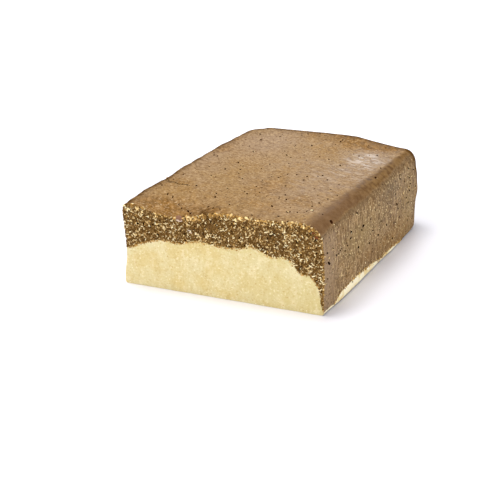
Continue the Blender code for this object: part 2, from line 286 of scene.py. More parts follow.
# Patches of the top, as x, y, both radii and strength; satin is wrinkled, sheen is the shiniest
# The satin patches also get a paler painted sheen and painted shade in their creases; sheen gets painted
# highlight streaks
TOP_PATCHES = {
    "sheen": ((0.031, 0.036, 0.010, 0.010, 0.9), (0.026, 0.022, 0.008, 0.010, 0.35)),
    "satin": ((0.034, 0.026, 0.013, 0.024, 1.0), (0.024, -0.002, 0.014, 0.026, 0.9)),
    "toasted": (
        (-0.006, 0.061, 0.018, 0.009, 0.5), (0.014, 0.059, 0.014, 0.011, 1.2),
        (0.028, 0.059, 0.014, 0.010, 2.0), (-0.028, -0.062, 0.014, 0.006, 2.0),
        (-0.012, -0.061, 0.012, 0.006, 2.0), (0.010, -0.045, 0.024, 0.009, 0.4),
        (0.004, -0.021, 0.008, 0.010, 0.8), (-0.039, -0.038, 0.009, 0.005, 0.6),
        (0.022, -0.032, 0.011, 0.010, 0.4), (-0.0430, 0.0165, 0.0040, 0.0100, 0.8),
        (-0.0440, 0.0300, 0.0030, 0.0080, 0.5),
    ),
    "greyer": ((-0.027, 0.034, 0.015, 0.022, 1.2), (-0.042, 0.006, 0.007, 0.036, 0.9)),
}
# Patches of the right wall, as y, z, both radii and strength
WALL_PATCHES = {
    "dull": ((0.024, 0.037, 0.014, 0.006, 1.0), (-0.050, 0.020, 0.008, 0.016, 0.6)),
    "olive": ((-0.012, 0.026, 0.022, 0.008, 1.0), (0.050, 0.014, 0.010, 0.016, 1.0)),
    "rusty": (
        (0.040, 0.007, 0.016, 0.008, 1.5), (0.020, 0.010, 0.014, 0.005, 1.0),
        (-0.004, 0.012, 0.010, 0.004, 0.7),
    ),
}
# How far the wall stays darker and plainer below the shoulder
UNDER_REACH = 0.0055

# Lumps of each kind: least and greatest scale on their three axes, unevenness, and for those
# whose radius is drawn its scale, least and greatest
LUMPS = {
    "pores": (((0.8, 1.15), (0.75, 1.0), (1.1, 1.6)), 0.08),
    "crack": (((1.0, 1.0), (0.9, 0.9), (0.9, 0.9)), 0.10),
    "pits": (((0.9, 1.7), (0.7, 1.1), (0.8, 1.3)), 0.14),
    "nut_grains": (((0.9, 1.8), (0.7, 1.0), (0.7, 1.0)), 0.12, 0.000031, 0.00012, 0.00042),
    "border_crumbs": (((0.9, 1.8), (0.7, 1.0), (0.5, 0.8)), 0.12, 0.000036, 0.00014, 0.00042),
    "edge_crumbs": (((0.9, 1.9), (0.6, 1.0), (0.6, 1.0)), 0.14),
    "foot_crumbs": (((0.9, 2.0), (0.7, 1.0), (0.4, 0.7)), 0.12, 0.000034, 0.00012, 0.00042),
    "odd_flakes_and_gap_shade": (((0.9, 1.1), (0.5, 0.7), (0.35, 0.35)), 0.14),
    "crack_chips": (((0.9, 1.3), (0.5, 0.8), (0.4, 0.4)), 0.14),
    "specks_and_rim_highlights": (((0.9, 1.6), (0.7, 1.0), (0.45, 0.45)), 0.12),
}
# Shape of the spread of sizes: higher is more even
GAMMA_SHAPE = 7.0
# How many flakes, grains and crumbs are tried in each place
FLAKE_TRIES = 2950
GRAIN_TRIES = 5200
FOOT_TRIES = 260
FRINGE_FLAKES = 330
# Slivers on the cut, at its top edge and in the tuft: scale of their length, shares pale and golden
SLIVERS = ((0.000178, (0.56, 0.14)), (0.00021, (0.50, 0.30)), (0.00026, (0.9, 0.1)))
SLIVER_LENGTHS = (0.0006, 0.0026)
SLIVER_WIDTHS = (0.00036, 0.00074)
# How thick the slivers lie: share that is kept, how it varies by size and strength of the clusters,
# and how much more is kept to each side of the middle
FLAKE_SHARE = 0.72
FLAKE_CLUSTERS = ((0.0050, 0.30), (0.0024, 0.35))
FLAKE_SIDES = 0.20
MIDDLE = 0.018
# Corners of the field where flakes are tried, and how far from the knife's plane they may lie
CUT_FIELD = ((-0.0495, 0.001), (0.0505, 0.0475))
CUT_ROUGHNESS = 0.0012
# The cut's edge on the skin: x along the top, z up the right wall, how far behind the cut
EDGE_TOP = (-0.0462, 0.0480)
EDGE_RIGHT = (0.0015, 0.0430)
EDGE_SETBACK = 0.0006
# Crumbs along that edge: side, how many, how far they lie inwards, size
EDGE_CRUMBS = (("top", 620, 0.0026, 0.00040), ("right", 190, 0.0007, 0.00020))
# Crumbs along the filling's border: from x, to x, how many
BORDER_CRUMBS = ((-0.0470, 0.0465, 280), (-0.0475, -0.0340, 93))
# Crumbs at the foot of the right wall: from y to y, how far they stray up and down, lowest
FOOT_REACH = (-0.040, 0.046)
FOOT_STRAY = 0.00045
FOOT_LOWEST = 0.0006
# A tuft of pale slivers at the top left corner of the cut: x, z, spread
TUFT_PLACE = (-0.0435, 0.0425)
TUFT_SPREAD = (0.0022, 0.0009)
TUFT_COUNT = 12
# The worn top left corner of the cut, which has no flakes: x, z, how far it reaches
CORNER_PLACE = (-0.0495, 0.0455)
CORNER_REACH = 0.0026
# Odd flakes in the cut, as x, z, radius and tint; those of tint 0 are near-black lumps, painted shade in
# the gaps between crumbs
ODD_FLAKES_AND_GAP_SHADE = (
    (-0.0195, 0.0407, 0.0019, 0.35), (-0.0196, 0.0396, 0.0019, 0.86), (0.0461, 0.0409, 0.0013, 0.15),
    (0.0448, 0.0432, 0.0009, 0.15), (-0.0148, 0.0346, 0.0008, 1.00), (-0.0140, 0.0338, 0.0006, 0.85),
    (0.0110, 0.0350, 0.0007, 0.38), (0.0428, 0.0430, 0.0008, 0.00), (0.0463, 0.0403, 0.0007, 0.00),
    (0.0389, 0.0386, 0.0006, 0.00), (0.0410, 0.0444, 0.0005, 0.00),
)
# Colours of the flakes by tint, as tint and 8-bit sRGB
FLAKE_TINTS = {
    "coconut": ((0.0, 78, 52, 20), (0.34, 122, 90, 48), (0.62, 212, 178, 118), (0.98, 255, 240, 194)),
    "golden": ((0.0, 86, 58, 22), (0.34, 136, 100, 48), (0.62, 208, 164, 94), (0.98, 252, 226, 162)),
    # Tint 0 of the odd flakes is near black: painted shade in the gaps between crumbs
    "odd_and_gap_shade": (
        (0.0, 56, 28, 8), (0.15, 118, 66, 34), (0.35, 136, 100, 78), (0.7, 180, 140, 90),
        (1.0, 240, 228, 214),
    ),
}

# Light: lamps as name, place, target, size, power and colour
WORLD_STRENGTH = 0.66
LAMPS = (
    ("key", (-0.55, -0.60, 1.00), (0, 0, 0.02), 0.7, 5.0, (1.0, 1.0, 1.0)),
    ("overhead", (-0.20, -0.05, 1.20), (0, 0, 0.02), 0.40, 7.4, (1.0, 1.0, 1.0)),
    ("fill", (0.90, -0.50, 0.25), (0, 0, 0.02), 0.5, 2.7, (1.0, 1.0, 1.0)),
    ("gloss", (-0.18, 0.56, 0.255), (0.033, 0.037, 0.045), 0.16, 0.40, (0.72, 0.86, 1.0)),
)
# Camera: place, turn about its axes in degrees, focal length in millimetres
CAMERA_PLACE = (0.2102, -0.4080, 0.2215)
CAMERA_TURN = (64.336, 0.0, 29.191)
CAMERA_LENS = 69.505
# The floor: glow far away, height, and the two linear colours that it varies between
FLOOR_GLOW = 0.35
FLOOR_LEVEL = -0.0001
FLOOR_COLOURS = ([0.88, 0.87, 0.92, 1.0], [0.89, 0.88, 0.93, 1.0])


def smooth_step(value):
    """Ease from 0 to 1 as value goes from 0 to 1."""
    t = np.clip(value, 0.0, 1.0)
    return t * t * (3.0 - 2.0 * t)


def curve(points, at):
    """Smooth curve through (position, value) points, read at the given positions."""
    xs, ys = np.array(points).T
    slopes = np.gradient(ys, xs)
    at = np.clip(at, xs[0], xs[-1])
    i = np.clip(np.searchsorted(xs, at) - 1, 0, len(xs) - 2)
    span = xs[i + 1] - xs[i]
    t = (at - xs[i]) / span
    rise = (ys[i + 1] - ys[i]) * t * t * (3.0 - 2.0 * t)
    ends = slopes[i] * t * (1.0 - t) ** 2 - slopes[i + 1] * t * t * (1.0 - t)
    return ys[i] + rise + span * ends


def lattice_value(ix, iy, iz, seed):
    """Repeatable value between -1 and 1 for each whole-numbered lattice point."""
    mix = (ix * 73856093) ^ (iy * 19349663) ^ (iz * 83492791) ^ (seed * 374761393)
    for shift, factor in ((15, 2246822519), (13, 3266489917), (16, 668265263)):
        mix = mix & 0xFFFFFFFF
        mix = (mix ^ (mix >> shift)) * factor
    return ((mix >> 8) & 0xFFFFFF) / 0x7FFFFF - 1.0


def value_noise(points, size, seed):
    """Smooth noise between -1 and 1, with features about as big as size."""
    scaled = points / size
    cell = np.floor(scaled).astype(np.int64)
    t = smooth_step(scaled - cell)
    total = np.zeros(points.shape[:-1])
    for corner in itertools.product((0, 1), repeat=3):
        weight = np.where(np.array(corner) == 1, t, 1.0 - t).prod(axis=-1)
        ix, iy, iz = np.moveaxis(cell + np.array(corner), -1, 0)
        total += weight * lattice_value(ix, iy, iz, seed)
    return total


def relief(points, layers, seed):
    """Sum of noise layers, each given as feature size and height."""
    return sum(height * value_noise(points, size, seed + k)
               for k, (size, height) in enumerate(layers))


def graded_lines(start, stop, fine_start=True, fine_stop=True):
    """Grid lines from start to stop, close together near an end that is rounded."""
    steps = []
    step = FINE
    while step < COARSE:
        steps.append(step)
        step *= GROWTH
    near = np.cumsum(steps)
    low = start + (np.append(0.0, near) if fine_start else np.zeros(1))
    high = stop - (np.append(near[::-1], 0.0) if fine_stop else np.zeros(1))
    count = max(1, round((high[0] - low[-1]) / COARSE))
    middle = np.linspace(low[-1], high[0], count + 1)[1:-1]
    return np.concatenate([low, middle, high])


def plan_point(x, y):
    """Round the plan's back corners.  Returns the point, its distance from the wall, the normal."""
    depths = np.stack([x + HALF_WIDTH, HALF_WIDTH - x, BACK - y])
    nearest = depths.argmin(axis=0)
    inset = depths.min(axis=0)
    nx = np.choose(nearest, [-1.0, 1.0, 0.0])
    ny = np.choose(nearest, [0.0, 0.0, 1.0])
    for side, radius in ((-1.0, CORNER_LEFT), (1.0, CORNER_RIGHT)):
        centre_x = side * (HALF_WIDTH - radius)
        centre_y = BACK - radius
        dx = (x - centre_x) * side
        dy = y - centre_y
        inside = (dx > 0) & (dy > 0)
        reach = np.where(inside, np.hypot(dx, dy), 1.0)
        longest = np.maximum(dx, dy)
        x = np.where(inside, centre_x + side * dx * longest / reach, x)
        y = np.where(inside, centre_y + dy * longest / reach, y)
        inset = np.where(inside, radius - longest, inset)
        nx = np.where(inside, side * dx / reach, nx)
        ny = np.where(inside, dy / reach, ny)
    return x, y, inset, nx, ny


def edge_radii(y, nx, ny):
    """Radius of the top edge and of the foot for a wall that faces (nx, ny)."""
    side = np.where(nx < 0, TOP_EDGE_LEFT, TOP_EDGE_RIGHT)
    top = side * nx ** 2 + TOP_EDGE_BACK * ny ** 2
    back = smooth_step((y - (BACK - FOOT_BLEND)) / FOOT_BLEND)
    return top, FOOT_SIDE + (FOOT_BACK - FOOT_SIDE) * back


def bend(x, y, z):
    """Bend the rounded box into the loaf: bellied walls, bowed back, uneven top."""
    above = np.clip((z - BELLY) / (HEIGHT - BELLY), 0.0, 1.0) ** 2
    left = np.clip(-x / HALF_WIDTH, 0.0, 1.0)
    right = np.clip(x / HALF_WIDTH, 0.0, 1.0)
    back = np.clip(y / BACK, 0.0, 1.0)
    below_waist = smooth_step(z / WAIST_HEIGHT)
    above_waist = smooth_step((z - WAIST_HEIGHT) / (HEIGHT - WAIST_HEIGHT))
    waist = WAIST_LEFT * below_waist - WAIST_EASE * above_waist
    bow = BOW * ((x - BOW_CENTRE) / BOW_HALF_SPAN) ** 2
    behind = y - FRONT
    rise = 0.0
    for hill_x, hill_y, radius_x, radius_y, height in HILLS:
        away = ((x - hill_x) / radius_x) ** 2 + ((behind - hill_y) / radius_y) ** 2
        rise += height * np.exp(-away)
    ripple_x = 0.0
    ripple_y = 0.0
    for across, along, phase, height in WAVES:
        rise += height * np.sin(across * x + along * y + phase)
        ripple_x += height * np.sin(across * z + along * y + phase)
        ripple_y += height * np.sin(across * x + along * z + phase)
    upper = smooth_step(2.0 * z / HEIGHT - 1.0)
    x = x + left * (waist + ripple_x - curve(SWELL_LEFT, behind))
    x = x + right * (curve(SWELL_RIGHT, behind) - LEAN_RIGHT * above - ripple_x)
    y = y - back * (LEAN_BACK * above + ripple_y) - back ** 2 * bow
    return x, y, z + upper * rise


def quads(ids):
    """Faces of a grid of vertex numbers."""
    return np.stack([ids[:-1, :-1], ids[:-1, 1:], ids[1:, 1:], ids[1:, :-1]], axis=-1).reshape(-1, 4)


def loaf_shape():
    """Points and faces of the uncut loaf, on a fine grid, before the small relief."""
    xs = graded_lines(-HALF_WIDTH, HALF_WIDTH)
    ys = graded_lines(FRONT - OVERRUN, BACK, fine_start=False)
    columns, rows = len(xs), len(ys)
    x, y, inset, nx, ny = plan_point(*np.meshgrid(xs, ys))
    radius, foot = edge_radii(y, nx, ny)
    angle = np.arctan(np.clip((radius - inset) / radius, 0.0, None))
    rounded = inset < radius
    pull = np.where(rounded, radius * (1.0 - np.sin(angle)) - inset, 0.0)
    top_z = np.where(rounded, HEIGHT - radius * (1.0 - np.cos(angle)), HEIGHT)
    top = np.stack(bend(x - pull * nx, y - pull * ny, top_z), axis=-1)

    rim = [(r, 0) for r in range(rows)]
    rim += [(rows - 1, c) for c in range(1, columns)]
    rim += [(r, columns - 1) for r in range(rows - 2, -1, -1)]
    pick = tuple(np.array(rim).T)
    wall_r, wall_f = radius[pick], foot[pick]
    levels = []
    for turn in np.radians(TOP_TURNS):
        levels.append((wall_r * (1 - math.sin(turn)), HEIGHT - wall_r * (1 - math.cos(turn))))
    for share in np.linspace(1.0, 0.0, WALL_ROWS + 1)[1:]:
        levels.append((np.zeros(len(rim)), wall_f + share * (HEIGHT - wall_r - wall_f)))
    for turn in np.radians(FOOT_TURNS):
        levels.append((wall_f * (1 - math.cos(turn)), wall_f * (1 - math.sin(turn))))
    wall = np.stack([np.stack(bend(x[pick] - pull * nx[pick], y[pick] - pull * ny[pick], z), axis=-1)
                     for pull, z in levels])
    wall[..., 2] = np.maximum(wall[..., 2], 0.0)

    top_ids = np.arange(rows * columns).reshape(rows, columns)
    wall_ids = top_ids.size + np.arange(len(levels) * len(rim)).reshape(len(levels), len(rim))
    skirt = np.vstack([top_ids[pick], wall_ids])
    faces = np.concatenate([quads(top_ids), quads(skirt)]).tolist()
    faces.append(wall_ids[-1].tolist())
    faces.append(wall_ids[::-1, 0].tolist() + top_ids[0].tolist() + wall_ids[:, -1].tolist())
    return np.concatenate([top.reshape(-1, 3), wall.reshape(-1, 3)]), faces


def add_mesh(name, points, faces, index=0):
    """A new object in the scene, with its faces turned outwards and one material number."""
    data = bpy.data.meshes.new(name)
    data.from_pydata(np.asarray(points).tolist(), [], [list(face) for face in faces])
    shape = bmesh.new()
    shape.from_mesh(data)
    bmesh.ops.recalc_face_normals(shape, faces=shape.faces)
    shape.to_mesh(data)
    shape.free()
    data.polygons.foreach_set("material_index", np.full(len(data.polygons), index))
    piece = bpy.data.objects.new(name, data)
    bpy.context.scene.collection.objects.link(piece)
    return piece


def read_vectors(rows, key):
    """Three numbers of each vertex, as an array."""
    values = np.empty(len(rows) * 3, np.float32)
    rows.foreach_get(key, values)
    return values.reshape(-1, 3).astype(float)


def read_points(data):
    """Vertex places of a mesh."""
    return read_vectors(data.vertices, "co")


def read_normals(data):
    """Vertex normals of a mesh."""
    return read_vectors(data.vertex_normals, "vector")


def tilts(normals):
    """How far each normal leans away from straight up, in degrees."""
    return np.degrees(np.arccos(np.clip(normals[:, 2], -1.0, 1.0)))


def rim_share(normals):
    """1 on the rounded left and back top edges, 0 elsewhere."""
    tilt = tilts(normals)
    turned = smooth_step((tilt - RIM_START) / RIM_FADE) * (1.0 - smooth_step((tilt - RIM_END) / RIM_FADE))
    return turned * smooth_step(2.5 * np.maximum(-normals[:, 0], normals[:, 1]))


def add_loaf(name, setback):
    """The fine loaf with the skin's small relief and notches, sunk by setback."""
    piece = add_mesh(name, *loaf_shape())
    flat, normals = read_points(piece.data), read_normals(piece.data)
    rise = relief(flat, SKIN_RELIEF, seed=3) - setback
    rise += rim_share(normals) * relief(flat, RIM_RELIEF, seed=13)
    for place, radius, depth in NOTCHES:
        away = np.linalg.norm(flat - np.array(place), axis=1) / radius
        rise -= depth * np.exp(-away ** 2)
    points = flat + normals * rise[:, None]
    at_front = flat[:, 1] < FRONT - OVERRUN + FINE / 100
    points[at_front, 1] = flat[at_front, 1]
    points[flat[:, 2] < FINE / 100, 2] = 0.0
    points[:, 2] = np.maximum(points[:, 2], 0.0)
    piece.data.vertices.foreach_set("co", points.astype(np.float32).ravel())
    piece.data.update()
    return piece


def add_slab(name, points, axis, base, index):
    """Closed cutter between a grid of points and the plane where the given axis equals base."""
    rows, columns = points.shape[:2]
    ids = np.arange(rows * columns).reshape(rows, columns)
    corners = points[::rows - 1, ::columns - 1].copy()
    corners[..., axis] = base
    low = ids.size + np.arange(4).reshape(2, 2)
    faces = quads(ids).tolist()
    faces.append([low[0, 0], low[1, 0], low[1, 1], low[0, 1]])
    faces.append(ids[0, ::-1].tolist() + [low[0, 0], low[0, 1]])
    faces.append(ids[-1].tolist() + [low[1, 1], low[1, 0]])
    faces.append(ids[:, 0].tolist() + [low[1, 0], low[0, 0]])
    faces.append(ids[::-1, -1].tolist() + [low[0, 1], low[1, 1]])
    return add_mesh(name, np.concatenate([points.reshape(-1, 3), corners.reshape(-1, 3)]), faces, index)


def filling_height(x, y):
    """Upper face of the filling: its crown, the steep right flank, and the skirt beside the wall."""
    behind = y - FRONT
    strip = curve(STRIP, behind)
    flank_top, flank_height = FILLING_TOP[-1]
    share = (x - flank_top) / (FLANK_FOOT - flank_top)
    flank = flank_height + (strip + FLANK_RISE - flank_height) * share
    skirt = strip + FLANK_RISE * np.maximum(HALF_WIDTH - x, 0.0) / (HALF_WIDTH - FLANK_FOOT)
    height = np.where(x < FLANK_FOOT, flank, skirt)
    height = np.where(x < flank_top, curve(FILLING_TOP, x), height)
    left = curve(LEFT_EDGE, behind) + LEFT_SLOPE * (x + HALF_WIDTH)
    height = -BLEND * np.logaddexp(-height / BLEND, -left / BLEND)
    past = np.clip((y - (BACK - END_MARGIN - END_LENGTH)) / END_LENGTH, 0.0, 1.0)
    end = np.sqrt(1.0 - past ** 2)
    return height * end - END_DROP * (1.0 - end)


def add_border(name, offset):
    """The boundary between the layers as a closed cutter, moved out by offset."""
    crown = np.arange(-HALF_WIDTH - 0.002, FLANK_FOOT - 0.008, BORDER_STEP)
    flank = np.linspace(crown[-1], HALF_WIDTH + 0.002, 24)[1:]
    xs = np.concatenate([[-HALF_WIDTH - SLACK], crown, flank, [HALF_WIDTH + SLACK / 2]])
    rounds = np.sin(np.linspace(0.0, math.pi / 2, END_ROWS))
    end = BACK - END_MARGIN - END_LENGTH * (1.0 - rounds)
    near = np.arange(FRONT - 0.001, FRONT + BORDER_REACH, BORDER_NEAR)
    far = np.arange(near[-1] + BORDER_FAR, end[0] - BORDER_FAR / 2, BORDER_FAR)
    ys = np.concatenate([[FRONT - SLACK], near, far, end])
    grid_x, grid_y = np.meshgrid(xs, ys)
    points = np.stack([grid_x, grid_y, filling_height(grid_x, grid_y)], axis=-1)
    normals = np.cross(np.gradient(points, axis=1), np.gradient(points, axis=0))
    normals /= np.linalg.norm(normals, axis=-1, keepdims=True)
    ragged = relief(points, BORDER_RELIEF, seed=21)
    return add_slab(name, points + (offset + ragged)[..., None] * normals, 2, -SLACK, 0)


def cut_depth(x, z):
    """How far back the knife's plane lies at x and z."""
    return FRONT + CUT_SKEW * (x + HALF_WIDTH) / WIDTH + CUT_LEAN * (1.0 - z / HEIGHT)


def crumb_relief(x, z, size, height, tilt, crevice, width, seed):
    """Relief of packed crumbs: each cell has its own height and tilt, with crevices between."""
    cell_x = np.floor(x / size).astype(np.int64)
    cell_z = np.floor(z / size).astype(np.int64)
    nearest = np.full(x.shape, 9.0)
    second = np.full(x.shape, 9.0)
    best = np.zeros(x.shape)
    for step_x, step_z in itertools.product((-1, 0, 1), repeat=2):
        draws = [lattice_value(cell_x + step_x, cell_z + step_z, np.int64(k), seed)
                 for k in range(6)]
        dx = x - (cell_x + step_x + 0.5 + 0.48 * draws[0]) * size
        dz = z - (cell_z + step_z + 0.5 + 0.48 * draws[1]) * size
        away = np.hypot(dx, dz * (1.0 + 0.35 * draws[5]))
        level = height * draws[2] + tilt * (dx * draws[3] + dz * draws[4])
        level = np.where(draws[5] > 2 * CRUMB_SHARE - 1, level + HOLE_DEPTH * size, level)
        closer = away < nearest
        second = np.where(closer, nearest, np.minimum(second, away))
        best = np.where(closer, level, best)
        nearest = np.where(closer, away, nearest)
    return best + crevice * np.exp(-((second - nearest) / width) ** 2)


def knife_grid(step):
    """Grid over the cut, in x and z, that stands past its outline."""
    xs = np.arange(HALF_WIDTH + KNIFE_MARGIN, -HALF_WIDTH - KNIFE_MARGIN, -step)
    zs = np.arange(-KNIFE_MARGIN, HEIGHT + 1.5 * KNIFE_MARGIN, step)
    return np.meshgrid(xs, zs)


def add_rough_knife():
    """The knife in the flaky mass: it leaves crumbs, crevices and a broken top edge."""
    x, z = knife_grid(KNIFE_STEP)
    rough = sum(crumb_relief(x, z, *layer, seed=31 + k) for k, layer in enumerate(CRUMBS))
    rough = rough * (1.0 + BREAK_GROWTH * smooth_step((z - (HEIGHT - BREAK_BAND)) / BREAK_BAND))
    points = np.stack([x, cut_depth(x, z) + rough, z], axis=-1)
    return add_slab("knife_in_mass", points, 1, FRONT - 2 * SLACK, 1)


def add_smooth_knife():
    """The knife in the filling: it leaves soft smears."""
    x, z = knife_grid(SMEAR_STEP)
    flat = np.stack([x, np.zeros(x.shape), z], axis=-1) / np.array(SMEAR_STRETCH)
    points = np.stack([x, cut_depth(x, z) + relief(flat, SMEAR_RELIEF, seed=41), z], axis=-1)
    return add_slab("knife_in_filling", points, 1, FRONT - 2 * SLACK, 0)


def carve(piece, operation, tool):
    """Apply a Boolean and throw the tool away."""
    modifier = piece.modifiers.new(tool.name, 'BOOLEAN')
    modifier.operation = operation
    modifier.solver = 'MANIFOLD'
    modifier.object = tool
    bpy.context.view_layer.update()
    state = bpy.context.evaluated_depsgraph_get()
    result = bpy.data.meshes.new_from_object(piece.evaluated_get(state))
    piece.modifiers.clear()
    piece.data = result
    bpy.data.objects.remove(tool, do_unlink=True)


def surface_tree(piece):
    """Tree for ray casts on a piece."""
    data = piece.data
    return BVHTree.FromPolygons([v.co for v in data.vertices], [p.vertices for p in data.polygons])


def frames_for(normals, turns):
    """Rotation matrices whose third column is the normal, turned about it."""
    helper = np.where(np.abs(normals[:, 2:3]) > 0.9, [[1.0, 0.0, 0.0]], [[0.0, 0.0, 1.0]])
    first = np.cross(helper, normals)
    first /= np.linalg.norm(first, axis=1, keepdims=True)
    second = np.cross(normals, first)
    c, s = np.cos(turns)[:, None], np.sin(turns)[:, None]
    return np.stack([c * first + s * second, c * second - s * first, normals], axis=-1)


def unit_ball():
    """Points and triangles of an icosphere of radius 1."""
    shape = bmesh.new()
    bmesh.ops.create_icosphere(shape, subdivisions=2, radius=1.0)
    points = np.array([tuple(v.co) for v in shape.verts])
    faces = np.array([[v.index for v in f.verts] for f in shape.faces])
    shape.free()
    return points, faces


def lumps(draw, kind, places, normals, radii=None, swing=math.pi, turned=0.0, length=1.0):
    """Uneven balls of one kind at the given places: points of all of them, and their faces."""
    scales, roughness, *sizes = LUMPS[kind]
    count = len(places)
    normals = np.broadcast_to(normals, places.shape)
    if radii is None:
        size, least, most = sizes
        radii = draw.gamma(GAMMA_SHAPE, size, count).clip(least, most)
    squash = np.stack([draw.uniform(low, high, count) if low < high else np.full(count, low)
                       for low, high in scales], axis=-1)
    squash[:, 0] *= length
    ball, faces = unit_ball()
    bumps = 1.0 + roughness * draw.normal(0.0, 1.0, (count, len(ball))).clip(-2, 2)
    local = ball[None] * bumps[..., None] * (radii[:, None] * squash)[:, None, :]
    turn = frames_for(normals, turned + draw.uniform(-swing, swing, count))
    points = np.einsum('nij,nkj->nki', turn, local) + places[:, None, :]
    numbers = faces[None] + (np.arange(count) * len(ball))[:, None, None]
    return points.reshape(-1, 3), numbers.reshape(-1, 3)


def join_lumps(name, groups, index):
    """One cutter from several groups of points and faces."""
    starts = np.cumsum([0] + [len(points) for points, _ in groups])
    faces = np.concatenate([numbers + start for (_, numbers), start in zip(groups, starts)])
    return add_mesh(name, np.concatenate([points for points, _ in groups]), faces, index)


def skin_hits(tree, mass, starts, direction, surface=0):
    """Where rays first meet the skin, or the cut if surface is 1: places, normals, which rays."""
    hits = []
    for k, start in enumerate(starts):
        place, normal, face, _ = tree.ray_cast(Vector(start), Vector(direction))
        if place is None or mass.data.polygons[face].material_index != surface:
            continue
        if normal.dot(Vector(direction)) <= -0.5:
            hits.append((*place, *normal, k))
    hits = np.array(hits)
    return hits[:, :3], hits[:, 3:6], hits[:, 6].astype(int)


def spread(draw, count, low, high, gap):
    """Random points in a rectangle, no two closer than gap."""
    kept = []
    for point in draw.uniform(low, high, (count * 3, 2)):
        if len(kept) == count:
            break
        if all(np.hypot(*(point - other)) > gap for other in kept):
            kept.append(point)
    return np.array(kept)


def add_pores(mass):
    """Cutter for the pores, the crack and the pits.  Returns the pores' places as well."""
    draw = np.random.default_rng(5)
    tree = surface_tree(mass)
    scattered = [spread(draw, count, low, high, PORE_GAP) for _, count, low, high, *_ in PORE_FIELDS]
    found = []
    for (named, _, _, _, axis, side), others in zip(PORE_FIELDS, scattered):
        rows = list(named)
        rows += [(a, b, draw.uniform(*PORE_RADII)) for a, b in others
                 if all(math.hypot(a - c, b - d) >= 2 * PORE_GAP for c, d, _ in named)]
        starts = [np.insert(row[:2], axis, side * PORE_RAYS[axis]) for row in rows]
        direction = np.zeros(3)
        direction[axis] = -side
        places, normals, kept = skin_hits(tree, mass, starts, direction)
        found.append(np.column_stack([places, normals, np.array(rows)[kept, 2]]))
    found = np.concatenate(found)
    places, normals, radii = found[:, :3], found[:, 3:6], found[:, 6]
    length = np.where(np.abs(normals).max(axis=1) > 0.9, PORE_LENGTH, 1.0)
    turned = np.where(normals[:, 2] > 0.8, PORE_TURN, -PORE_TURN)
    centres = places + normals * (0.2 * radii)[:, None]
    holes = lumps(draw, "pores", centres, normals, radii, 0.4, turned, length)
    groups = [holes, crack_hollows(tree, mass), cut_pits(tree, mass)]
    return join_lumps("pores", groups, 2), (places, normals, radii)


def crack_hollows(tree, mass):
    """Small overlapping hollows in a row: the crack near the top left edge."""
    draw = np.random.default_rng(6)
    share = np.linspace(0.0, 1.0, CRACK_STEPS)
    along = np.linspace(0.0, 1.0, len(CRACK))
    line = np.stack([np.interp(share, along, values) for values in zip(*CRACK)], axis=-1)
    line += draw.normal(0.0, CRACK_WAVER, line.shape)
    starts = [(x, y, 2 * HEIGHT) for x, y in line]
    places, normals, _ = skin_hits(tree, mass, starts, (0, 0, -1))
    count = len(places)
    radii = CRACK_RADIUS * draw.uniform(0.7, 1.3, count) * np.linspace(*CRACK_TAPER, count)
    return lumps(draw, "crack", places, normals, radii)


def cut_pits(tree, mass):
    """Hollows in the cut where flakes fell out, most of them just under the top edge."""
    draw = np.random.default_rng(8)
    x = draw.uniform(-PIT_REACH, PIT_REACH, PIT_COUNT)
    near_top = draw.uniform(0, 1, PIT_COUNT) < 0.5
    below = np.where(near_top, *[draw.uniform(*limits, PIT_COUNT) for limits in PIT_DEPTHS])
    starts = [(a, FRONT - AWAY, HEIGHT - b) for a, b in zip(x, below)]
    places, _, _ = skin_hits(tree, mass, starts, (0, 1, 0), surface=1)
    return lumps(draw, "pits", places, CUT_NORMAL, draw.uniform(*PIT_RADII, len(places)))


def rotated(points, first, second, angles):
    """Points turned from one axis towards another, each row by its own angle."""
    c, s = np.cos(angles)[:, None, None], np.sin(angles)[:, None, None]
    a, b = points[..., first], points[..., second]
    points = points.copy()
    points[..., first], points[..., second] = a * c - b * s, a * s + b * c
    return points


def slivers(draw, places, normals, lengths, widths, thicks):
    """Bent, tapering slivers that lie on a surface at all angles: points and faces."""
    count = len(places)
    along = np.linspace(-1.0, 1.0, 5)
    taper = np.array([0.30, 0.82, 1.0, 0.80, 0.34])
    round_about = np.arange(6) * math.pi / 3
    curl = draw.normal(0.0, 0.22, (count, 1)) * lengths[:, None]
    arch = draw.uniform(0.02, 0.22, (count, 1)) * lengths[:, None]
    middle = np.stack([along * lengths[:, None] / 2, curl * along ** 2, arch * (0.5 - along ** 2)],
                      axis=-1)
    wide = widths[:, None, None] / 2 * taper[:, None] * np.cos(round_about)
    thick = thicks[:, None, None] / 2 * taper[:, None] * np.sin(round_about)
    local = middle[:, :, None, :] + np.stack([np.zeros(wide.shape), wide, thick], axis=-1)
    local += draw.normal(0.0, 0.05, local.shape) * widths[:, None, None, None]
    roll = draw.normal(0.0, 0.7, count)
    pitch = draw.normal(0.0, 0.22, count)
    local = rotated(rotated(local, 1, 2, roll), 2, 0, pitch).reshape(count, -1, 3)
    turn = frames_for(normals, draw.uniform(0.0, 2 * math.pi, count))
    points = np.einsum('nij,nkj->nki', turn, local) + places[:, None, :]
    ids = np.arange(30).reshape(5, 6)
    sides = quads(np.concatenate([ids, ids[:, :1]], axis=1))
    sides = np.concatenate([sides[:, [0, 1, 2]], sides[:, [0, 2, 3]]])
    caps = np.array([[0, 1, 2], [0, 2, 3], [0, 3, 4], [0, 4, 5]])
    faces = np.concatenate([sides, caps[:, ::-1], caps + 24])
    numbers = faces[None] + (np.arange(count) * ids.size)[:, None, None]
    return points.reshape(-1, 3), numbers.reshape(-1, 3)


def set_attribute(piece, name, values):
    """Store one number per vertex for the materials."""
    attribute = piece.data.attributes.new(name, 'FLOAT', 'POINT')
    attribute.data.foreach_set("value", np.asarray(values, np.float32))


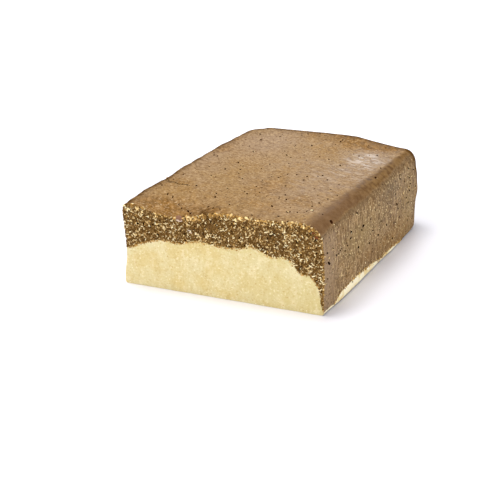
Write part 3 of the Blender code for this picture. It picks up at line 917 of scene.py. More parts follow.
def finish_flakes(name, shape, tints, material):
    """Make a scattered piece of its own, with one tint per flake."""
    piece = add_mesh(name, *shape)
    set_attribute(piece, "tint", np.repeat(tints, len(shape[0]) // len(tints)))
    piece.data.materials.append(material)
    piece.data.shade_smooth()
    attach(piece, "root")
    return piece


def first_hits(trees, starts, direction):
    """Where rays first meet either layer: places, and which layer they meet."""
    places, layers = [], []
    for start in starts:
        found = []
        for layer, tree in enumerate(trees):
            place, _, _, away = tree.ray_cast(Vector(start), Vector(direction))
            if place is not None:
                found.append((away, layer, tuple(place)))
        if found:
            _, layer, place = min(found)
            places.append(place)
            layers.append(layer)
    return np.array(places), np.array(layers)


def cut_hits(trees, spots):
    """Where rays from the front meet the cut at x and z: places, and which layer they meet."""
    return first_hits(trees, [(x, FRONT - AWAY, z) for x, z in spots], (0, 1, 0))


def flaky_places(trees, draw, tries):
    """Random places on the flaky part of the cut."""
    places, layers = cut_hits(trees, draw.uniform(*CUT_FIELD, (tries, 2)))
    flat = places[:, 1] - cut_depth(places[:, 0], places[:, 2])
    away = np.hypot(places[:, 0] - CORNER_PLACE[0], places[:, 2] - CORNER_PLACE[1])
    return places[(layers == 0) & (np.abs(flat) < CUT_ROUGHNESS) & (away > CORNER_REACH)]


def three_tone(draw, count, pale, golden):
    """Tints of which the given shares are pale and golden, and the rest brown."""
    pick = draw.uniform(0.0, 1.0, count)
    ease = draw.beta(1.3, 1.1, count)
    darker = np.where(pick < pale + golden, 0.34 + 0.28 * ease, 0.34 * ease)
    return np.where(pick < pale, 0.62 + 0.36 * ease, darker)


def scatter_slivers(trees, mass, material):
    """Coconut slivers all over the flaky part of the cut, along its top edge and at its corner."""
    draw = np.random.default_rng(17)
    places = flaky_places(trees, draw, FLAKE_TRIES)
    dense = FLAKE_SHARE + relief(places, FLAKE_CLUSTERS, seed=61)
    dense += FLAKE_SIDES * (np.abs(places[:, 0]) > MIDDLE)
    places = places[draw.uniform(0.0, 1.0, len(places)) < dense]
    edge, _ = edge_line(surface_tree(mass), mass, draw, FRINGE_FLAKES, "top")
    edge = edge[draw.uniform(0.0, 1.0, len(edge)) < curve(FRINGE, edge[:, 0])]
    edge[:, 2] -= 0.0024 * draw.beta(1.0, 1.4, len(edge))
    tuft, _ = cut_hits(trees, np.array(TUFT_PLACE) + draw.normal(0.0, 1.0, (TUFT_COUNT, 2)) * TUFT_SPREAD)
    groups = tuple(zip((places, edge, tuft), SLIVERS))
    lengths = np.concatenate([draw.gamma(GAMMA_SHAPE, size, len(rows)) for rows, (size, _) in groups])
    tints = np.concatenate([three_tone(draw, len(rows), *shares) for rows, (_, shares) in groups])
    places = np.concatenate([rows for rows, _ in groups])
    places[:, 1] = np.minimum(places[:, 1], cut_depth(places[:, 0], places[:, 2]) + 0.0004)
    count = len(places)
    lengths = lengths.clip(*SLIVER_LENGTHS)
    widths = (lengths * draw.uniform(0.30, 0.62, count)).clip(*SLIVER_WIDTHS)
    thicks = widths * draw.uniform(0.5, 0.8, count)
    places = places + CUT_NORMAL * (thicks * draw.uniform(-0.2, 0.5, count))[:, None]
    shape = slivers(draw, places, np.tile(CUT_NORMAL, (count, 1)), lengths, widths, thicks)
    return finish_flakes("coconut_slivers", shape, tints, material)


def scatter_grains(trees, material):
    """Small round grains of nut and coconut between the slivers."""
    draw = np.random.default_rng(23)
    places = flaky_places(trees, draw, GRAIN_TRIES)
    shape = lumps(draw, "nut_grains", places, CUT_NORMAL)
    return finish_flakes("nut_grains", shape, three_tone(draw, len(places), 0.20, 0.22), material)


def scatter_border_crumbs(trees, material):
    """Brown crumbs that the knife dragged over the edge of the filling."""
    draw = np.random.default_rng(29)
    x = np.concatenate([draw.uniform(start, stop, tries) for start, stop, tries in BORDER_CRUMBS])
    z = filling_height(x, cut_depth(x, 0.025)) - draw.gamma(1.3, 0.00025, len(x))
    places, layers = cut_hits(trees, np.stack([x, z], axis=-1))
    places = places[layers == 1]
    shape = lumps(draw, "border_crumbs", places, CUT_NORMAL)
    return finish_flakes("border_crumbs", shape, draw.uniform(0.30, 0.66, len(places)), material)


def scatter_foot_crumbs(trees, material):
    """Crumbs along the ragged edge where the filling comes out at the foot of the right wall."""
    draw = np.random.default_rng(31)
    y = draw.uniform(*FOOT_REACH, FOOT_TRIES)
    z = filling_height(np.full(len(y), HALF_WIDTH), y) + draw.normal(0.0, FOOT_STRAY, len(y))
    starts = zip(np.full(len(y), HALF_WIDTH + AWAY), y, np.maximum(z, FOOT_LOWEST))
    places, _ = first_hits(trees, starts, (-1, 0, 0))
    shape = lumps(draw, "foot_crumbs", places, (1.0, 0.0, 0.0))
    return finish_flakes("foot_crumbs", shape, three_tone(draw, len(places), 0.35, 0.45), material)


def scatter_odd_flakes_and_gap_shade(trees, material):
    """The few larger flakes in the cut that differ from the rest, and near-black lumps of painted shade in
    the gaps between crumbs.
    """
    table = np.array(ODD_FLAKES_AND_GAP_SHADE)
    places, _ = cut_hits(trees, table[:, :2])
    shape = lumps(np.random.default_rng(41), "odd_flakes_and_gap_shade", places, CUT_NORMAL, table[:, 2], 0.4)
    return finish_flakes("odd_flakes_and_gap_shade", shape, table[:, 3], material)


def scatter_crack_chips(mass, material):
    """Golden chips of skin that stand up beside the crack."""
    starts = [(x, y, 2 * HEIGHT) for x, y, *_ in CRACK_CHIPS]
    places, normals, kept = skin_hits(surface_tree(mass), mass, starts, (0, 0, -1))
    _, _, radii, tints = np.array(CRACK_CHIPS)[kept].T
    shape = lumps(np.random.default_rng(43), "crack_chips", places, normals, radii)
    return finish_flakes("crack_chips", shape, tints, material)


def edge_line(tree, mass, draw, count, side):
    """Points just behind the cut's edge on the skin, along the top or along the right wall."""
    if side == "top":
        direction = (0, 0, -1)
        starts = [(x, cut_depth(x, HEIGHT) + EDGE_SETBACK, HEIGHT + AWAY)
                  for x in draw.uniform(*EDGE_TOP, count)]
    else:
        direction = (-1, 0, 0)
        starts = [(HALF_WIDTH + AWAY, cut_depth(HALF_WIDTH, z) + EDGE_SETBACK, z)
                  for z in draw.uniform(*EDGE_RIGHT, count)]
    places, normals, _ = skin_hits(tree, mass, starts, direction)
    return places, normals


def scatter_edge_crumbs(mass, material):
    """Golden crumbs that break out along the top of the cut and down its right edge."""
    draw = np.random.default_rng(19)
    tree = surface_tree(mass)
    rows = []
    for side, count, inward, size in EDGE_CRUMBS:
        places, normals = edge_line(tree, mass, draw, count, side)
        share = curve(FRINGE, places[:, 0]) if side == "top" else 1.0
        kept = draw.uniform(0.0, 1.0, len(places)) < share
        places, normals = places[kept], normals[kept]
        places = places - normals * (inward * draw.beta(1.0, 1.8, len(places)))[:, None]
        places[:, 1] = cut_depth(places[:, 0], places[:, 2]) + draw.normal(0.00005, 0.00016, len(places))
        rows.append(np.column_stack([places, np.full(len(places), size)]))
    rows = np.concatenate(rows)
    radii = rows[:, 3] * draw.gamma(8.0, 1 / 8.0, len(rows)).clip(0.5, 1.9)
    shape = lumps(draw, "edge_crumbs", rows[:, :3], CUT_NORMAL, radii)
    return finish_flakes("edge_crumbs", shape, three_tone(draw, len(rows), 0.22, 0.44), material)


def scatter_specks(pores, material):
    """Pale specks that stand beside some of the pores: partly coconut, partly painted highlight where the
    pores' raised rims catch the light.
    """
    draw = np.random.default_rng(37)
    places, normals, radii = pores
    kept = (draw.uniform(0.0, 1.0, len(radii)) < SPECK_SHARE) & (normals[:, 2] < 0.8)
    kept |= (draw.uniform(0.0, 1.0, len(radii)) < SPECK_SHARE / 4) & (normals[:, 2] > 0.8)
    places, normals, radii = places[kept], normals[kept], radii[kept]
    count = len(places)
    aside = np.cross(normals, draw.normal(0.0, 1.0, (count, 3)))
    aside /= np.linalg.norm(aside, axis=1, keepdims=True)
    places = places + aside * (radii * draw.uniform(1.0, 1.6, count))[:, None]
    sizes = SPECK_SIZE * draw.gamma(8.0, 1 / 8.0, count).clip(0.5, 1.6)
    shape = lumps(draw, "specks_and_rim_highlights", places, normals, sizes)
    return finish_flakes("specks_and_rim_highlights", shape, draw.uniform(0.55, 0.92, count), material)


def patches(places, rows):
    """Soft patches in a plane: full in the middle of each, 0 away from them."""
    total = np.zeros(len(places))
    for a, b, radius_a, radius_b, strength in rows:
        away = ((places[:, 0] - a) / radius_a) ** 2 + ((places[:, 1] - b) / radius_b) ** 2
        total = np.maximum(total, strength * np.exp(-away))
    return np.minimum(total, 1.0)


def tree_of(points):
    """Tree that finds the nearest of the given points."""
    tree = KDTree(len(points))
    for k, point in enumerate(points):
        tree.insert(point, k)
    tree.balance()
    return tree


def near(points, chosen, width):
    """1 on and close to the chosen points, easing to 0 at about the given distance."""
    tree = tree_of(points[chosen])
    return smooth_step(1.2 - np.array([tree.find(point)[2] for point in points]) / width)


def shape_attributes(mass, loaf):
    """Numbers that the skin and cut materials read: facing, depth of the relief, rind, and the masks for
    the painted shade of the shoulder, the rims, the back right corner and the cut's hollows.

    The facing is that of the whole loaf, so that it stays even beside the pores and the cut.
    """
    points = read_points(mass.data)
    x, y, z = points.T
    loaf_tree, loaf_points, loaf_normals = loaf
    tree = tree_of(loaf_points)
    normals = loaf_normals[[tree.find(point)[1] for point in points]]
    inside = np.array([loaf_tree.find_nearest(Vector(point))[3] for point in points])
    uneven = relief(points, UNEVEN, seed=51)
    tilt = tilts(normals)
    places, *limits = np.array(SHOULDER_SHADE).T
    start, full, end = [curve(np.stack([places, limit], axis=-1), y) for limit in limits]
    over = x + TOP_EDGE_RIGHT - HALF_WIDTH + HEIGHT - z
    past = smooth_step((over - end - SHOULDER_WAVE * uneven) / SHOULDER_FADE + 0.5)
    flat = np.hypot(normals[:, 0], normals[:, 1])
    to_right = smooth_step(2.5 * normals[:, 0] / np.maximum(flat, 0.2) - 1.0)
    wall = smooth_step((tilt - 44.0 + 7.0 * uneven) / 24.0)
    # Mask of the painted shade on the rounded right shoulder
    shoulder_shade = smooth_step((over - start + 0.6 * SHOULDER_WAVE * uneven) / (full - start)) * (1.0 - past)
    # Rims of the left and back top edges: partly browner skin, partly painted shade where the edges turn
    # away
    edge = (z > HEIGHT * 0.75) & (tilt > 22.0) & (np.maximum(-normals[:, 0], normals[:, 1]) > 0.3)
    reach = np.interp(y, RIM_CHANGE, RIM_WIDTHS)
    rim = 0.75 * near(points, edge, reach) + 0.25 * near(points, edge, RIM_SPREAD * reach)
    # Mask of the painted shade on the back right corner
    turned = (normals[:, 1] > 0.2) & (normals[:, 0] > 0.3)
    high = CORNER_SHADE_FAINT + (1.0 - CORNER_SHADE_FAINT) * smooth_step((z - CORNER_SHADE_LOW) / CORNER_SHADE_FADE)
    rough = y - cut_depth(x, z)
    facing = smooth_step((x - RIND_TURN[0]) / (RIND_TURN[1] - RIND_TURN[0]))
    width = RIND_TOP * curve(FRINGE, x)
    width += (RIND_SIDE * (x > 0) - width) * np.maximum(facing, z < HEIGHT * 0.8)
    values = {
        "wall": wall + to_right * (past - wall),
        "under": to_right * past * smooth_step(1.0 - (over - end) / UNDER_REACH),
        "shoulder_shade": shoulder_shade * smooth_step(x / 0.02),
        "rim": rim * (1.0 - smooth_step((tilt - RIM_END) / RIM_FADE)),
        "corner": near(points, turned, CORNER_SHADE_WIDTH) * high,
        "behind": rough,
        # painted shade: 1 where the cut's relief lies deepest
        "hollow_shade": smooth_step((rough + 0.0003) / 0.0011),
        "rind": inside / np.maximum(width, 0.0001),
    }
    for name, rows in TOP_PATCHES.items():
        values[name] = patches(points[:, :2], rows)
    for name, rows in WALL_PATCHES.items():
        values[name] = patches(points[:, 1:], rows) * (x > 0)
    for name, numbers in values.items():
        set_attribute(mass, name, numbers)


def sharpen(piece, flat_index):
    """Shade smoothly, but the cut's faces flat and its outline crisp."""
    data = piece.data
    index = np.empty(len(data.polygons), np.int32)
    data.polygons.foreach_get("material_index", index)
    data.shade_smooth()
    data.polygons.foreach_set("use_smooth", index != flat_index)
    data.set_sharp_from_angle(angle=math.radians(50))


def srgb(red, green, blue):
    """Linear colour from 8-bit display values."""
    values = np.array([red, green, blue]) / 255
    linear = np.where(values <= 0.04045, values / 12.92, ((values + 0.055) / 1.055) ** 2.4)
    return [*linear.tolist(), 1.0]


class Paint:
    """Short ways to build the nodes of one Principled material."""

    def __init__(self, name):
        self.material = bpy.data.materials.new(name)
        self.material.use_nodes = True
        self.tree = self.material.node_tree
        self.shader = self.tree.nodes["Principled BSDF"].inputs
        self.place = self.add('ShaderNodeTexCoord', {})["Object"]

    def fill(self, inputs, values):
        """Link sockets, or set their values.  A tuple is a colour in 8-bit sRGB."""
        for key, value in values.items():
            if isinstance(value, bpy.types.NodeSocket):
                self.tree.links.new(value, inputs[key])
            else:
                inputs[key].default_value = srgb(*value) if isinstance(value, tuple) else value

    def add(self, kind, values, **settings):
        """Add a node and fill its inputs.  Returns its outputs."""
        node = self.tree.nodes.new(kind)
        for key, value in settings.items():
            setattr(node, key, value)
        self.fill(node.inputs, values)
        return node.outputs

    def spot(self, stretch, shift):
        """Object coordinates, stretched and shifted."""
        scale = [1 / k for k in stretch]
        shifts = [shift, shift * 1.7, -shift * 0.6]
        return self.add('ShaderNodeMapping', {"Vector": self.place, "Scale": scale, "Location": shifts})[0]

    def noise(self, size, detail=2.0, rough=0.5, stretch=(1, 1, 1), shift=0.0, warp=0.0):
        """Noise from 0 to 1 with features about as big as size."""
        values = {"Vector": self.spot(stretch, shift), "Scale": 1 / size, "Detail": detail,
                  "Roughness": rough, "Distortion": warp}
        return self.add('ShaderNodeTexNoise', values)[0]

    def cells(self, size, stretch=(1, 1, 1), shift=0.0):
        """Voronoi cells: distance from the middle, and one random value per cell."""
        cell = self.add('ShaderNodeTexVoronoi', {"Vector": self.spot(stretch, shift), "Scale": 1 / size})
        return cell["Distance"], self.add('ShaderNodeSeparateColor', {0: cell["Color"]})[0]

    def attribute(self, name):
        """A number stored on the mesh."""
        return self.add('ShaderNodeAttribute', {}, attribute_name=name)["Fac"]

    def height(self):
        """Height above the floor."""
        return self.add('ShaderNodeSeparateXYZ', {0: self.place})[2]

    def span(self, value, low, high, start=0.0, stop=1.0):
        """Map low..high smoothly to start..stop."""
        values = dict(enumerate((value, low, high, start, stop)))
        return self.add('ShaderNodeMapRange', values, interpolation_type='SMOOTHSTEP')[0]

    def math(self, operation, a, b=0.0):
        """Arithmetic on two numbers."""
        return self.add('ShaderNodeMath', {0: a, 1: b}, operation=operation)[0]

    def times(self, product, *others):
        """Product of numbers."""
        for other in others:
            product = self.math('MULTIPLY', product, other)
        return product

    def mix(self, factor, a, b):
        """Mix two colours."""
        return self.add('ShaderNodeMix', {0: factor, 6: a, 7: b}, data_type='RGBA')[2]

    def glaze(self, colour, rows):
        """Lay colours over one another, each where its value goes from low to high, up to a share."""
        for value, low, high, share, *tone in rows:
            colour = self.mix(self.span(value, low, high, 0.0, share), colour, tuple(tone))
        return colour

    def ramp(self, factor, *stops):
        """Colours along a number."""
        node = self.tree.nodes.new('ShaderNodeValToRGB')
        band = node.color_ramp
        while len(band.elements) < len(stops):
            band.elements.new(0.5)
        for element, (place, *tone) in zip(band.elements, stops):
            element.position = place
            element.color = srgb(*tone)
        self.fill(node.inputs, {0: factor})
        return node.outputs[0]

    def finish(self, colour, roughness, specular, height=None, distance=0.0001, strength=1.0):
        """Connect colour, roughness, shine and bump.  Returns the material."""
        values = {"Base Color": colour, "Roughness": roughness, "Specular IOR Level": specular}
        if height is not None:
            bump = {"Strength": strength, "Distance": distance, "Height": height}
            values["Normal"] = self.add('ShaderNodeBump', bump)[0]
        self.fill(self.shader, values)
        return self.material


def top_colour(p, patch, mottle, grain, line):
    """The skin's top: warm, mottled tan, toasted in places, with fine wrinkles where it is satin; painted
    shade in the wrinkles' creases, a paler painted sheen on the satin and painted highlight streaks where
    it is shiniest.
    """
    satin, behind = p.attribute("satin"), p.attribute("behind")
    top = p.ramp(p.span(p.noise(0.026, 2.0), 0.35, 0.65), (0.0, 155, 126, 91), (1.0, 153, 121, 77))
    top = p.mix(p.span(patch, 0.46, 0.66, 0.0, 0.65), top, (152, 116, 66))
    top = p.mix(p.times(p.attribute("greyer"), 0.85), top, (157, 130, 102))
    burnt = p.mix(p.span(mottle, 0.36, 0.62), (106, 74, 34), (150, 108, 54))
    toast = p.times(p.attribute("toasted"), p.span(patch, 0.35, 0.60, 0.60, 0.90))
    top = p.mix(toast, top, burnt)
    brink = p.times(p.span(behind, 0.0048, 0.0008), p.span(mottle, 0.35, 0.6, 0.2, 0.8))
    top = p.mix(brink, top, (132, 96, 48))
    fleck = p.noise(0.0009, 2.0, 0.7, (1.5, 0.8, 1.0), 23.0)
    top = p.glaze(top, (
        (mottle, 0.48, 0.32, 0.45, 124, 92, 54),
        (mottle, 0.54, 0.72, 0.40, 184, 152, 112),
        (grain, 0.46, 0.30, 0.85, 106, 74, 40),
        (grain, 0.56, 0.74, 0.70, 188, 158, 120),
        (fleck, 0.47, 0.30, 0.85, 98, 68, 38),
        (fleck, 0.55, 0.72, 0.75, 194, 166, 130),
    ))
    crease = p.span(p.math('ABSOLUTE', p.math('SUBTRACT', line, 0.5)), 0.03, 0.0)
    level = p.span(p.attribute("shoulder_shade"), 0.0, 0.5, 1.0, 0.0)
    wrinkle_bump_and_shade = p.times(crease, p.span(satin, 0.0, 0.6, 0.10, 0.64), level)
    # Painted shade in the wrinkles' creases; the same lines also feed the bump
    top = p.mix(wrinkle_bump_and_shade, top, (118, 88, 58))
    # Painted sheen: the satin patches are paler and greyer
    top = p.mix(p.span(satin, 0.1, 0.8, 0.0, 0.12), top, (172, 148, 126))
    # Painted highlight: pale streaks along the wrinkle lines where the top is shiniest
    highlight_share = p.span(p.attribute("sheen"), 0.0, 0.5, 0.30, 0.90)
    top = p.mix(p.times(p.span(line, 0.50, 0.60), satin, highlight_share), top, (188, 168, 150))
    return top, toast, wrinkle_bump_and_shade


def wall_colour(p, patch, mottle, grain):
    """The skin's walls: upright streaks with dark and pale specks, plainer near the cut, where they are
    also paler and greyer, partly a painted sheen.
    """
    under, behind = p.attribute("under"), p.attribute("behind")
    streak = p.noise(0.0011, 3.0, 0.7, stretch=(1, 1, 6.0), shift=11.0)
    speck = p.noise(0.0009, 2.0, 0.6, stretch=(1, 1, 1.2), shift=13.0)
    rows = p.ramp(p.span(streak, 0.38, 0.62), (0.0, 74, 50, 20), (0.5, 140, 112, 76), (1.0, 196, 166, 122))
    dots = p.ramp(p.span(grain, 0.34, 0.66), (0.0, 86, 60, 28), (0.5, 142, 114, 78), (1.0, 190, 158, 112))
    side = p.glaze(p.mix(p.span(mottle, 0.52, 0.68), rows, dots), (
        (patch, 0.45, 0.65, 0.45, 134, 100, 60),
        (mottle, 0.50, 0.34, 0.50, 104, 76, 42),
        (patch, 0.62, 0.40, 0.55, 128, 100, 66),
    ))
    side = p.mix(p.times(p.attribute("dull"), 0.6), side, (108, 88, 62))
    side = p.mix(p.times(p.attribute("olive"), p.span(mottle, 0.3, 0.6, 0.2, 0.6)), side, (152, 128, 84))
    side = p.mix(p.times(p.attribute("rusty"), p.span(mottle, 0.6, 0.3, 0.3, 0.8)), side, (142, 104, 52))
    # Near the cut the wall is plainer, and paler and greyer, partly a painted sheen
    plainer_and_sheen = p.span(p.math('ADD', behind, p.span(mottle, 0.3, 0.7, -0.004, 0.004)), 0.024, 0.002)
    side = p.mix(p.times(plainer_and_sheen, 0.62), side, (155, 130, 102))
    side = p.mix(p.times(under, 0.72), side, (104, 80, 53))
    calm = p.math('MAXIMUM', plainer_and_sheen, under)
    pale = p.times(p.span(speck, 0.60, 0.70), p.span(calm, 0.0, 1.0, 1.0, 0.25))
    side = p.mix(pale, side, (230, 204, 150))
    return p.mix(p.span(speck, 0.40, 0.30), side, (54, 32, 12)), streak


def paint_skin():
    """Tan satin skin: top and walls, painted shade on the right shoulder, the back right corner and the
    foot, and dark rims that are partly browner skin and partly painted shade.
    """
    p = Paint("skin")
    wall, sheen, rim, corner = [p.attribute(name) for name in ("wall", "sheen", "rim", "corner")]
    patch = p.noise(0.0085, 3.0, 0.6, shift=3.0)
    mottle = p.noise(0.0032, 3.0, 0.6, shift=7.0)
    grain = p.noise(0.0014, 3.0, 0.65)
    line = p.noise(0.0030, 3.0, 0.6, (2.6, 0.9, 1.0), 17.0, 0.6)
    top, toast, wrinkle_bump_and_shade = top_colour(p, patch, mottle, grain, line)
    side, streak = wall_colour(p, patch, mottle, grain)
    colour = p.mix(wall, top, side)
    # Painted shade on the rounded right shoulder: a darker brown band, smoother near the cut
    smooth_shoulder_shade = p.mix(p.span(mottle, 0.3, 0.7), (98, 69, 42), (113, 84, 57))
    rough_shoulder_shade = p.mix(p.span(mottle, 0.35, 0.65), (84, 54, 18), (122, 91, 51))
    shoulder_shade_tone = p.mix(p.span(p.attribute("behind"), 0.03, 0.07), smooth_shoulder_shade, rough_shoulder_shade)
    colour = p.mix(p.times(p.attribute("shoulder_shade"), 0.88), colour, shoulder_shade_tone)
    # Dark rims on the left and back top edges: partly browner skin, partly painted shade
    colour = p.mix(p.times(rim, p.span(mottle, 0.60, 0.42, 0.5, 1.0)), colour, (84, 57, 26))
    # Painted shade on the back right corner, where the wall turns away from the light
    colour = p.mix(p.times(corner, p.span(mottle, 0.60, 0.42, 0.6, 1.0)), colour, (86, 57, 24))
    # Painted contact shadow: the skin turns dark brown in the lowest millimetre or so above the floor
    colour = p.mix(p.span(p.height(), 0.0014, 0.0002, 0.0, 0.85), colour, (64, 46, 28))
    bump = p.math('ADD', p.times(grain, 0.7), p.times(streak, wall))
    bump = p.math('SUBTRACT', bump, p.times(wrinkle_bump_and_shade, 0.9))
    shine = p.math('ADD', p.times(sheen, p.span(line, 0.40, 0.58, 0.12, 0.40)), 0.04)
    matt = p.math('MAXIMUM', p.math('MAXIMUM', rim, corner), toast)
    shine = p.times(shine, p.math('SUBTRACT', 1.0, matt))
    rough = p.math('SUBTRACT', p.span(mottle, 0.3, 0.7, 0.46, 0.58), p.times(sheen, 0.12))
    return p.finish(colour, rough, shine, bump, 0.00016, 0.9)


def paint_cut():
    """Dark nut mass: brown paste with darker and paler crumbs, golden under the skin, and painted shade
    that turns its deepest hollows near black.
    """
    p = Paint("cut")
    _, grain = p.cells(0.0011)
    _, fine = p.cells(0.00060, stretch=(1, 1, 1.4), shift=5.0)
    speckle = p.noise(0.0006, 3.0, 0.7, shift=2.0)
    paste = p.ramp(grain, (0.0, 80, 54, 16), (0.4, 106, 77, 36), (0.8, 126, 95, 52), (1.0, 146, 113, 66))
    bits = p.ramp(fine, (0.0, 62, 36, 6), (0.45, 108, 78, 38), (0.80, 134, 102, 56),
                  (0.90, 200, 166, 112), (1.0, 236, 206, 152))
    # The second glaze row is painted shade: where the cut's relief lies deepest it turns near black
    colour = p.glaze(p.mix(p.span(speckle, 0.42, 0.58), paste, bits), (
        (p.noise(0.006, 2.0), 0.45, 0.7, 0.35, 100, 72, 36),
        (p.attribute("hollow_shade"), 0.55, 1.0, 0.8, 50, 27, 3),
    ))
    edge = p.math('ADD', p.attribute("rind"), p.span(speckle, 0.3, 0.7, -0.25, 0.25))
    ragged = p.noise(0.0024, 3.0, 0.6, shift=9.0)
    edge = p.math('ADD', edge, p.span(ragged, 0.3, 0.7, -0.55, 0.55))
    tan = p.mix(p.span(fine, 0.0, 1.0), (108, 74, 28), (190, 148, 82))
    colour = p.mix(p.span(edge, 1.05, 0.55, 0.0, 0.85), colour, tan)
    colour = p.mix(p.span(p.attribute("lip"), 0.0009, 0.0004, 0.0, 0.7), colour, (118, 86, 36))
    return p.finish(colour, p.span(speckle, 0.3, 0.7, 0.55, 0.75), 0.03, speckle, 0.00012, 0.8)


def paint_pore_shade():
    """The inside of the pores, the crack and the cut's pits: painted shade, a near-black brown, deeper
    below the height of the top than in the top's pores.
    """
    p = Paint("pore_shade")
    shade = p.noise(0.0006, 2.0)
    tone = p.span(shade, 0.3, 0.7)
    pore_shade_in_wall = p.mix(tone, (18, 6, 0), (44, 20, 4))
    pore_shade_in_top = p.mix(tone, (38, 16, 3), (74, 38, 12))
    # Below the height of the top the painted shade is deeper than in the top's pores
    colour = p.mix(p.span(p.height(), 0.0405, 0.0425), pore_shade_in_wall, pore_shade_in_top)
    return p.finish(colour, p.span(shade, 0.3, 0.7, 0.5, 0.7), 0.0)


def paint_ivory():
    """Ivory filling: pale yellow paste, mottled, with faint smears, cream dots and a few specks; its outer
    strip at the foot of the right wall is paler, partly painted light, with a painted contact shadow along
    its foot.
    """
    p = Paint("ivory")
    broad = p.span(p.noise(0.012, 3.0, 0.6), 0.32, 0.68)
    smear = p.noise(0.0030, 3.0, 0.6, stretch=(1, 1, 2.6), shift=4.0)
    grain = p.noise(0.0010, 3.0, 0.65, shift=8.0)
    outside = p.attribute("outside")
    yellow = p.ramp(broad, (0.0, 218, 197, 137), (0.5, 220, 203, 149), (1.0, 222, 208, 160))
    green = p.ramp(broad, (0.0, 213, 196, 138), (1.0, 217, 203, 153))
    colour = p.glaze(p.mix(p.span(p.attribute("across"), -0.02, 0.045), yellow, green), (
        (smear, 0.50, 0.74, 0.65, 232, 218, 176),
        (smear, 0.46, 0.26, 0.45, 200, 172, 108),
        (grain, 0.54, 0.74, 0.80, 198, 168, 102),
        (grain, 0.45, 0.26, 0.95, 242, 230, 190),
    ))
    dots, pick = p.cells(0.0019, shift=6.0)
    dot = p.times(p.span(dots, 0.22, 0.12), p.span(pick, 0.62, 0.68), 0.75)
    colour = p.mix(dot, colour, p.mix(p.span(pick, 0.80, 0.84), (246, 236, 202), (190, 150, 78)))
    # The outer strip is paler: partly its own fresh colour, partly painted light where the wall faces away
    # from the key
    foot = p.mix(p.span(p.noise(0.0050, 2.0, 0.5), 0.34, 0.56), (238, 216, 158), (253, 242, 206))
    # Painted contact shadow: the strip turns dark brown just above the floor
    foot = p.mix(p.span(p.height(), 0.0013, 0.0002), foot, (104, 84, 58))
    colour = p.mix(outside, colour, foot)
    reach = {"Subsurface Weight": 0.12, "Subsurface Radius": [1.0, 0.8, 0.45], "Subsurface Scale": 0.0012}
    p.fill(p.shader, reach)
    bump = p.math('ADD', grain, p.times(smear, p.span(outside, 0.0, 1.0, 1.5, 0.0)))
    return p.finish(colour, p.span(grain, 0.3, 0.7, 0.48, 0.62), 0.12, bump, 0.00014, 0.8)


def paint_flakes(name):
    """Flakes and crumbs, coloured by the tint of each."""
    p = Paint(name)
    speckle = p.noise(0.0004, 2.0, 0.6)
    colour = p.ramp(p.attribute("tint"), *FLAKE_TINTS[name])
    colour = p.mix(p.span(speckle, 0.58, 0.8, 0.0, 0.4), colour, (150, 108, 60))
    return p.finish(colour, p.span(speckle, 0.3, 0.7, 0.45, 0.65), 0.08, speckle, 0.00006, 0.6)


def add_area(name, place, target, size, power, colour):
    """Soft square light that the camera doesn't see."""
    data = bpy.data.lights.new(name, 'AREA')
    data.color = colour
    data.shape = 'SQUARE'
    data.size = size
    data.energy = power
    lamp = bpy.data.objects.new(name, data)
    lamp.location = place
    lamp.rotation_euler = (Vector(place) - Vector(target)).to_track_quat('Z', 'Y').to_euler()
    lamp.visible_camera = False
    bpy.context.scene.collection.objects.link(lamp)


def add_floor():
    """Pale floor that glows faintly away from the block."""
    corners = [(x, y, FLOOR_LEVEL) for x, y in ((-4, -4), (4, -4), (4, 4), (-4, 4))]
    floor = add_mesh("floor", corners, [(0, 1, 2, 3)])
    p = Paint("floor")
    away = p.add('ShaderNodeVectorMath', {0: p.place}, operation='LENGTH')["Value"]
    glow = p.span(away, 0.11, 0.28, 0.0, FLOOR_GLOW)
    p.fill(p.shader, {"Emission Color": [1.0, 1.0, 1.0, 1.0], "Emission Strength": glow})
    floor.data.materials.append(p.finish(p.mix(p.noise(0.3, 1.0), *FLOOR_COLOURS), 0.8, 0.1))


def add_studio():
    """Pale floor, white surroundings, a soft key, and a softbox whose reflection glosses the top."""
    scene = bpy.context.scene
    scene.view_settings.view_transform = 'Standard'
    world = bpy.data.worlds.new("surroundings")
    world.use_nodes = True
    background = world.node_tree.nodes["Background"]
    background.inputs["Color"].default_value = (1.0, 1.0, 1.0, 1.0)
    background.inputs["Strength"].default_value = WORLD_STRENGTH
    scene.world = world
    for lamp in LAMPS:
        add_area(*lamp)
    add_floor()


def add_camera():
    """The camera at the photo's place and angle."""
    data = bpy.data.cameras.new("camera")
    data.sensor_width = 36.0
    data.lens = CAMERA_LENS
    data.clip_start = 0.01
    data.clip_end = 20.0
    camera = bpy.data.objects.new("camera", data)
    camera.location = CAMERA_PLACE
    camera.rotation_euler = [math.radians(angle) for angle in CAMERA_TURN]
    bpy.context.scene.collection.objects.link(camera)
    bpy.context.scene.camera = camera


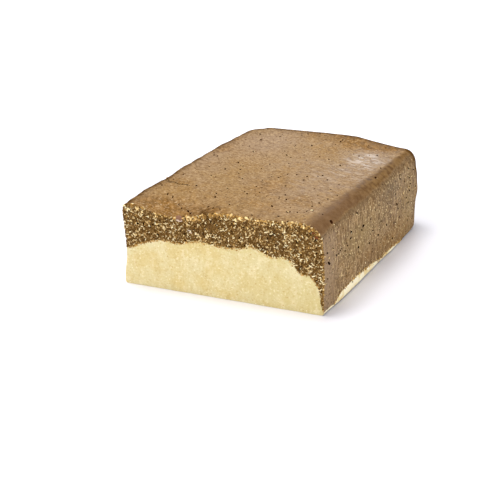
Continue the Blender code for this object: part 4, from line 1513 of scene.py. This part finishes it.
def make_mass():
    """The flaky mass with its skin."""
    mass = add_loaf("mass_body", 0.0)
    loaf = surface_tree(mass), read_points(mass.data), read_normals(mass.data)
    for paint in (paint_skin, paint_cut, paint_pore_shade):
        mass.data.materials.append(paint())
    carve(mass, 'DIFFERENCE', add_border("filling_space", 0.0))
    carve(mass, 'DIFFERENCE', add_rough_knife())
    holes, pores = add_pores(mass)
    carve(mass, 'DIFFERENCE', holes)
    shape_attributes(mass, loaf)
    sharpen(mass, 1)
    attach(mass, "root")
    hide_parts("nut_mass")
    return mass, pores


def make_filling():
    """The ivory filling."""
    filling = add_loaf("filling_body", SETBACK)
    filling.data.materials.append(paint_ivory())
    carve(filling, 'INTERSECT', add_border("filling_form", TUCK))
    carve(filling, 'DIFFERENCE', add_smooth_knife())
    filling.data.shade_smooth()
    filling.data.set_sharp_from_angle(angle=math.radians(40))
    x, y, z = read_points(filling.data).T
    set_attribute(filling, "across", x)
    outside = smooth_step((y - cut_depth(x, z)) / 0.0006) * smooth_step((x - OUTER_STRIP) / 0.004)
    set_attribute(filling, "outside", outside)
    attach(filling, "root")
    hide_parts("ivory_filling")
    return filling


def main():
    """Build the candy, the stage and the camera."""
    mass, pores = make_mass()
    filling = make_filling()
    trees = [surface_tree(mass), surface_tree(filling)]
    near_filling = [trees[1].find_nearest(point)[3] for point in map(Vector, read_points(mass.data))]
    set_attribute(mass, "lip", near_filling)
    coconut, golden, odd_and_gap_shade = [paint_flakes(name) for name in FLAKE_TINTS]
    pieces = [
        mass,
        filling,
        scatter_slivers(trees, mass, coconut),
        scatter_grains(trees, golden),
        scatter_border_crumbs(trees, golden),
        scatter_edge_crumbs(mass, golden),
        scatter_foot_crumbs(trees, golden),
        scatter_odd_flakes_and_gap_shade(trees, odd_and_gap_shade),
        scatter_crack_chips(mass, golden),
        scatter_specks(pores, coconut),
    ]
    for piece in pieces:
        piece.data.transform(Matrix.Translation((CENTRING, 0.0, 0.0)))
    add_studio()
    add_camera()


main()
